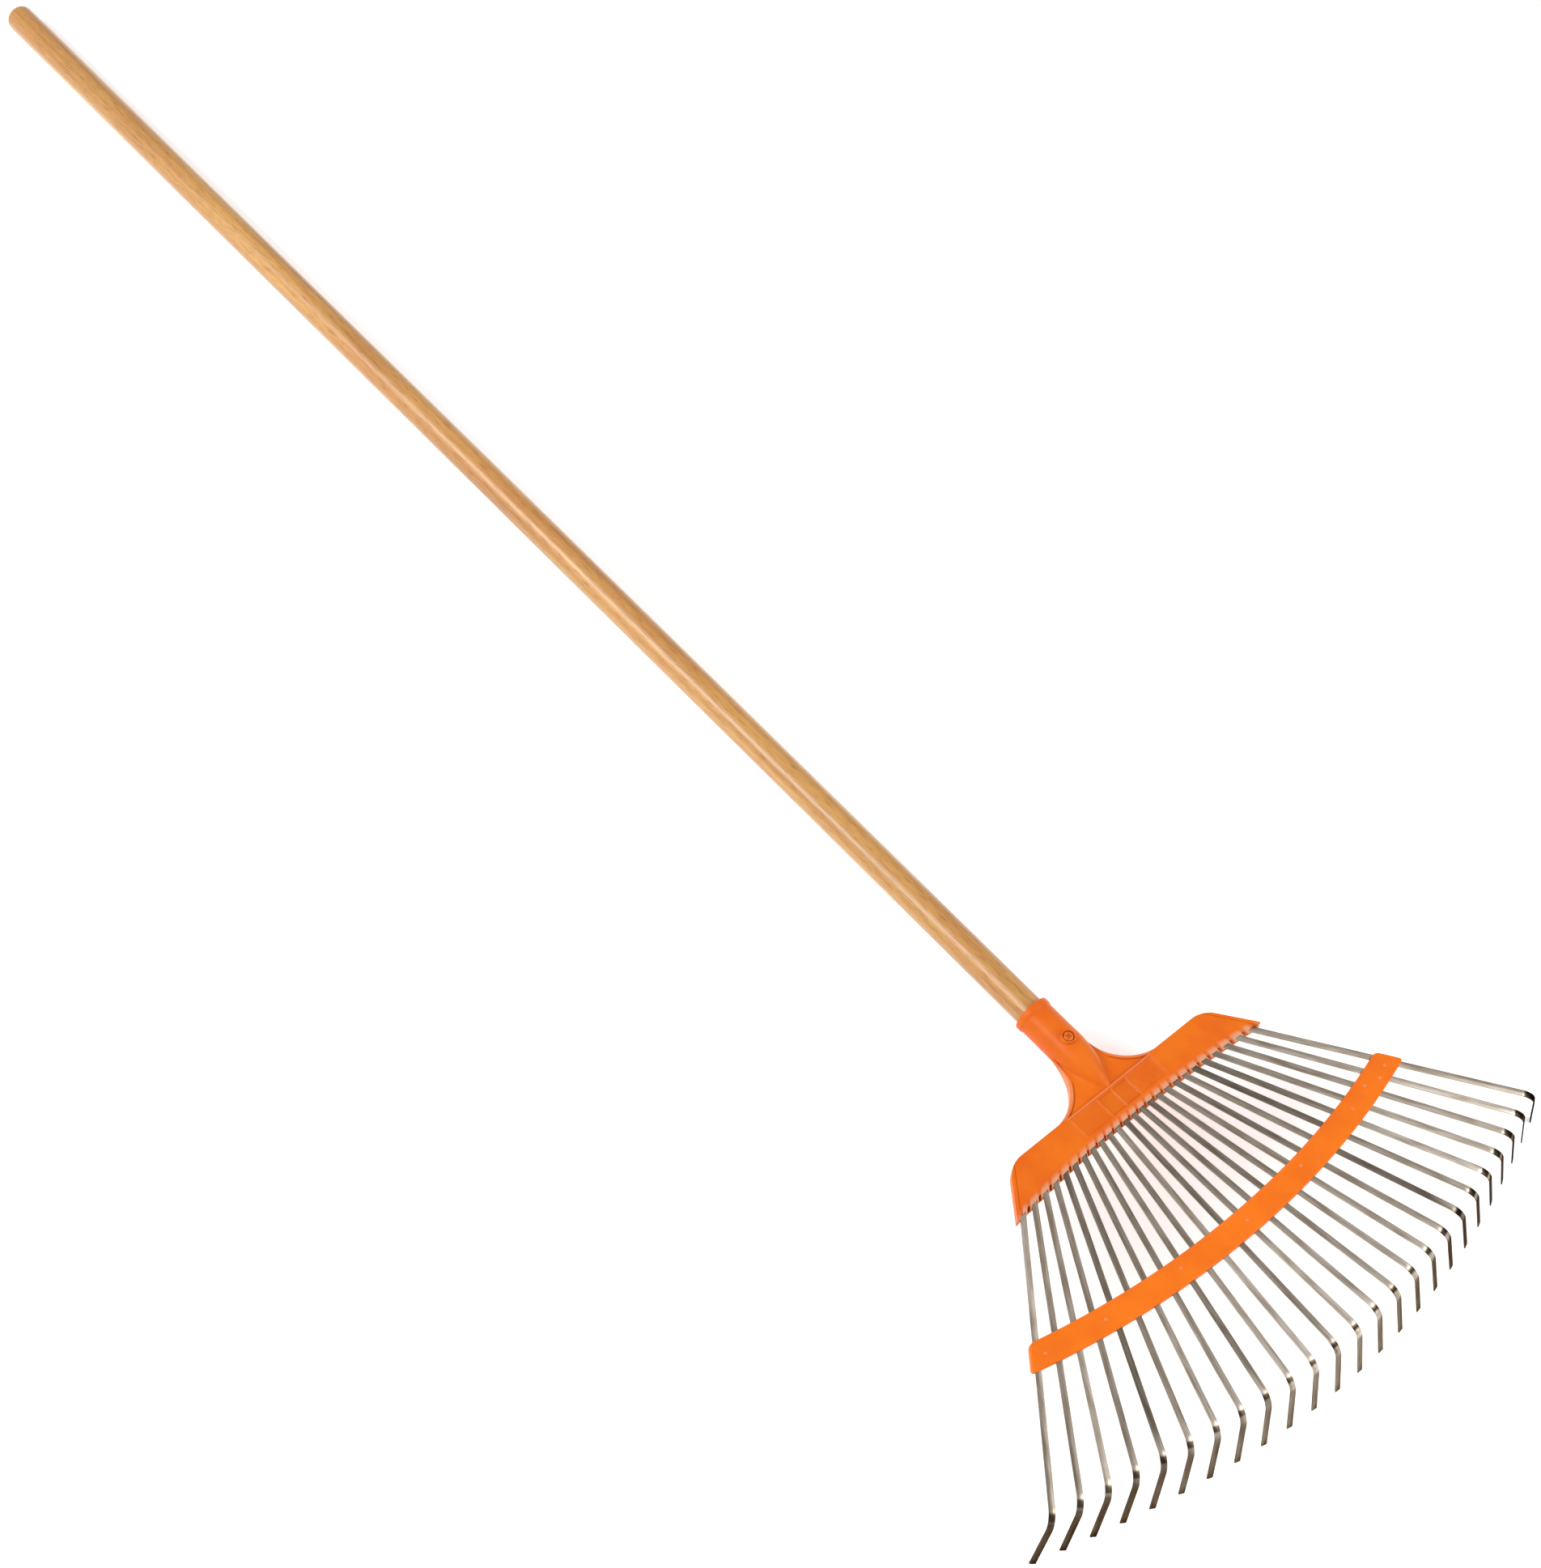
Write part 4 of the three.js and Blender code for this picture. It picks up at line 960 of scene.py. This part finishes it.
def pip_shell(u, offset, r=1.5, height=0.5):
    """A small round mark left by a moulding pin: a low dome on the brace's top, on a foot sunk in it."""
    a = np.linspace(0, 2 * np.pi, 16, endpoint=False)
    t = np.radians([[0], [0], [30], [60], [82]])
    ring, rise = r * np.cos(t), height * np.sin(t)
    rise[0] = -0.8
    along, up = (v[0] for v in brace_axes(np.array([u])))
    side = np.cross(up, along)
    middle = brace_place(np.array([u]))[0] + along * offset + up * BRACE_THICKNESS / 2
    points = (middle + (ring * np.cos(a))[..., None] * along + (ring * np.sin(a))[..., None] * side
              + rise[..., None] * up)
    # Painted highlight makes each pip paler.
    return shell(points, thin=np.full(points.shape[:2], 0.3))


def make_brace(material):
    """The brace and its moulding marks, each given by u and by how far it is out from the middle line."""
    pips = [(-0.97, 1.0), (-0.71, 0.0), (-0.35, -2.0), (0.0, 0.0), (0.35, -2.0), (0.71, 0.0), (0.84, -3.0),
            (0.9, 3.0), (0.97, 1.0)]
    shells = [brace_shell()] + [pip_shell(u, offset) for u, offset in pips]
    return make_piece("moulded_brace", shells, material, ["brace"])


# ---- screw ------------------------------------------------------------------------------------------------

def make_screw(material):
    """Pan-head screw: a shank and a low domed head turned about one line, and the head's top sunk
    along a cross for the driver."""
    seat = SCREW_SEAT
    share = np.array([0.04, 0.12, 0.2, 0.28, 0.36, 0.44, 0.5, 0.56, 0.62, 0.7, 0.8, 0.88, 0.95, 1.0])
    dome = seat + 0.9 + np.sqrt(np.maximum(1 - share**2.4, 0))
    head = np.stack([SCREW_HEAD_R * share, dome], -1)[::-1]
    shank = [(0.2, seat - 17), (2.0, seat - 14), (2.0, seat)]
    under_head = [(SCREW_HEAD_R - 0.2, seat), (SCREW_HEAD_R, seat + 0.2)]
    profile = np.concatenate([shank, under_head, head])
    grid = turned_upright(profile, 96)
    a = np.linspace(0, 2 * np.pi, 96, endpoint=False)[None] + math.pi / 4
    r = profile[:, :1]
    x, y = np.abs(r * np.cos(a)), np.abs(r * np.sin(a))
    arm = np.maximum((1 - step(y, 0.35, 0.6)) * (1 - step(x, 1.7, 2.1)),
                     (1 - step(x, 0.35, 0.6)) * (1 - step(y, 1.7, 2.1)))
    arm = arm * (profile[:, 1:] > seat + 1)
    up = along_handle(np.array([0, 0, 1.0])) - along_handle(np.array([0, 0, 0.0]))
    return make_piece("pan_screw", [shell(grid - 1.1 * arm[..., None] * up)], material, ["handle_screw"])


# ---- the rake ----------------------------------------------------------------------------------------------

# Each plastic's last colour is the pale one of its painted highlights and painted reflections.
head_plastic = moulded_polypropylene("moulded orange polypropylene", "#E26D0A", "#DB6108", "#E09F7A")
brace_plastic = moulded_polypropylene("brighter moulded polypropylene", "#EC730B", "#E46A09", "#E09F7A")
steel = spring_steel()
make_handle(lacquered_ash())
make_head(head_plastic)
make_retainer(head_plastic)
make_brace(brace_plastic)
make_screw(enamelled_screw())
for k in range(TINES):
    make_tine(k + 1, tine_u[k], PALE_AT_HEAD[k] / 10, PALE_AT_BEND[k] / 10, steel)

# ---- floor, light and camera ---------------------------------------------------------------------------

scene = bpy.context.scene
scene.view_settings.view_transform = "Standard"

span = np.linspace(-40, 40, 2)
ground = bpy.data.meshes.new("floor")
ground.from_pydata([(x, y, 0.0) for x in span for y in span], [], [(0, 2, 3, 1)])
ground.materials.append(floor_paint())
floor = bpy.data.objects.new("floor", ground)
scene.collection.objects.link(floor)

world = bpy.data.worlds.new("studio")
scene.world = world
world.use_nodes = True
world.node_tree.nodes["Background"].inputs["Color"].default_value = linear("#F4F4F6")
world.node_tree.nodes["Background"].inputs["Strength"].default_value = 0.645


def soft_box(name, direction, distance, size, power, aim, along_x):
    """A rectangular lamp at that distance from its aim, facing it, with its first side lying along X or
    else level."""
    lamp = bpy.data.lights.new(name, "AREA")
    lamp.shape = "RECTANGLE"
    lamp.size, lamp.size_y = size
    lamp.energy = power
    holder = bpy.data.objects.new(name, lamp)
    scene.collection.objects.link(holder)
    z = unit(np.array(direction))
    x = np.array([1.0, 0.0, 0.0]) if along_x else np.cross((0, 0, 1.0), z)
    x = unit(x - z * (x @ z))
    place = np.eye(4)
    place[:3, :3] = np.stack([x, np.cross(z, x), z], -1)
    place[:3, 3] = np.array(aim) + z * distance
    holder.matrix_world = Matrix(place.tolist())


soft_box("strip", (-0.39, -0.68, 0.73), 2.4, (1.9, 0.8), 38, (0.1, 0.0, 0.03), True)
soft_box("front", (0.61, 0.44, 0.66), 2.2, (1.2, 1.4), 24, (0.62, 0.0, 0.04), False)

lens = bpy.data.cameras.new("camera")
lens.sensor_fit = "AUTO"
lens.sensor_width = 36.0
lens.lens = 65.617
lens.clip_start, lens.clip_end = 0.01, 50
camera = bpy.data.objects.new("camera", lens)
scene.collection.objects.link(camera)
CAMERA_PLACE = (535.66, -932.87, 1787.94)                 # head frame, mm
CAMERA_RIGHT = (0.66278, 0.74657, 0.05784)
CAMERA_DOWN = (0.63153, -0.5158, -0.5789)


def turned_to_floor(axis):
    return unit(on_floor(np.array(axis)) - on_floor(np.zeros(3)))


right = turned_to_floor(CAMERA_RIGHT)
upward = -turned_to_floor(CAMERA_DOWN)
upward = unit(upward - right * (right @ upward))
pose = np.eye(4)
pose[:3, :3] = np.stack([right, upward, np.cross(right, upward)], -1)
pose[:3, 3] = on_floor(np.array(CAMERA_PLACE))
camera.matrix_world = Matrix(pose.tolist())
scene.camera = camera
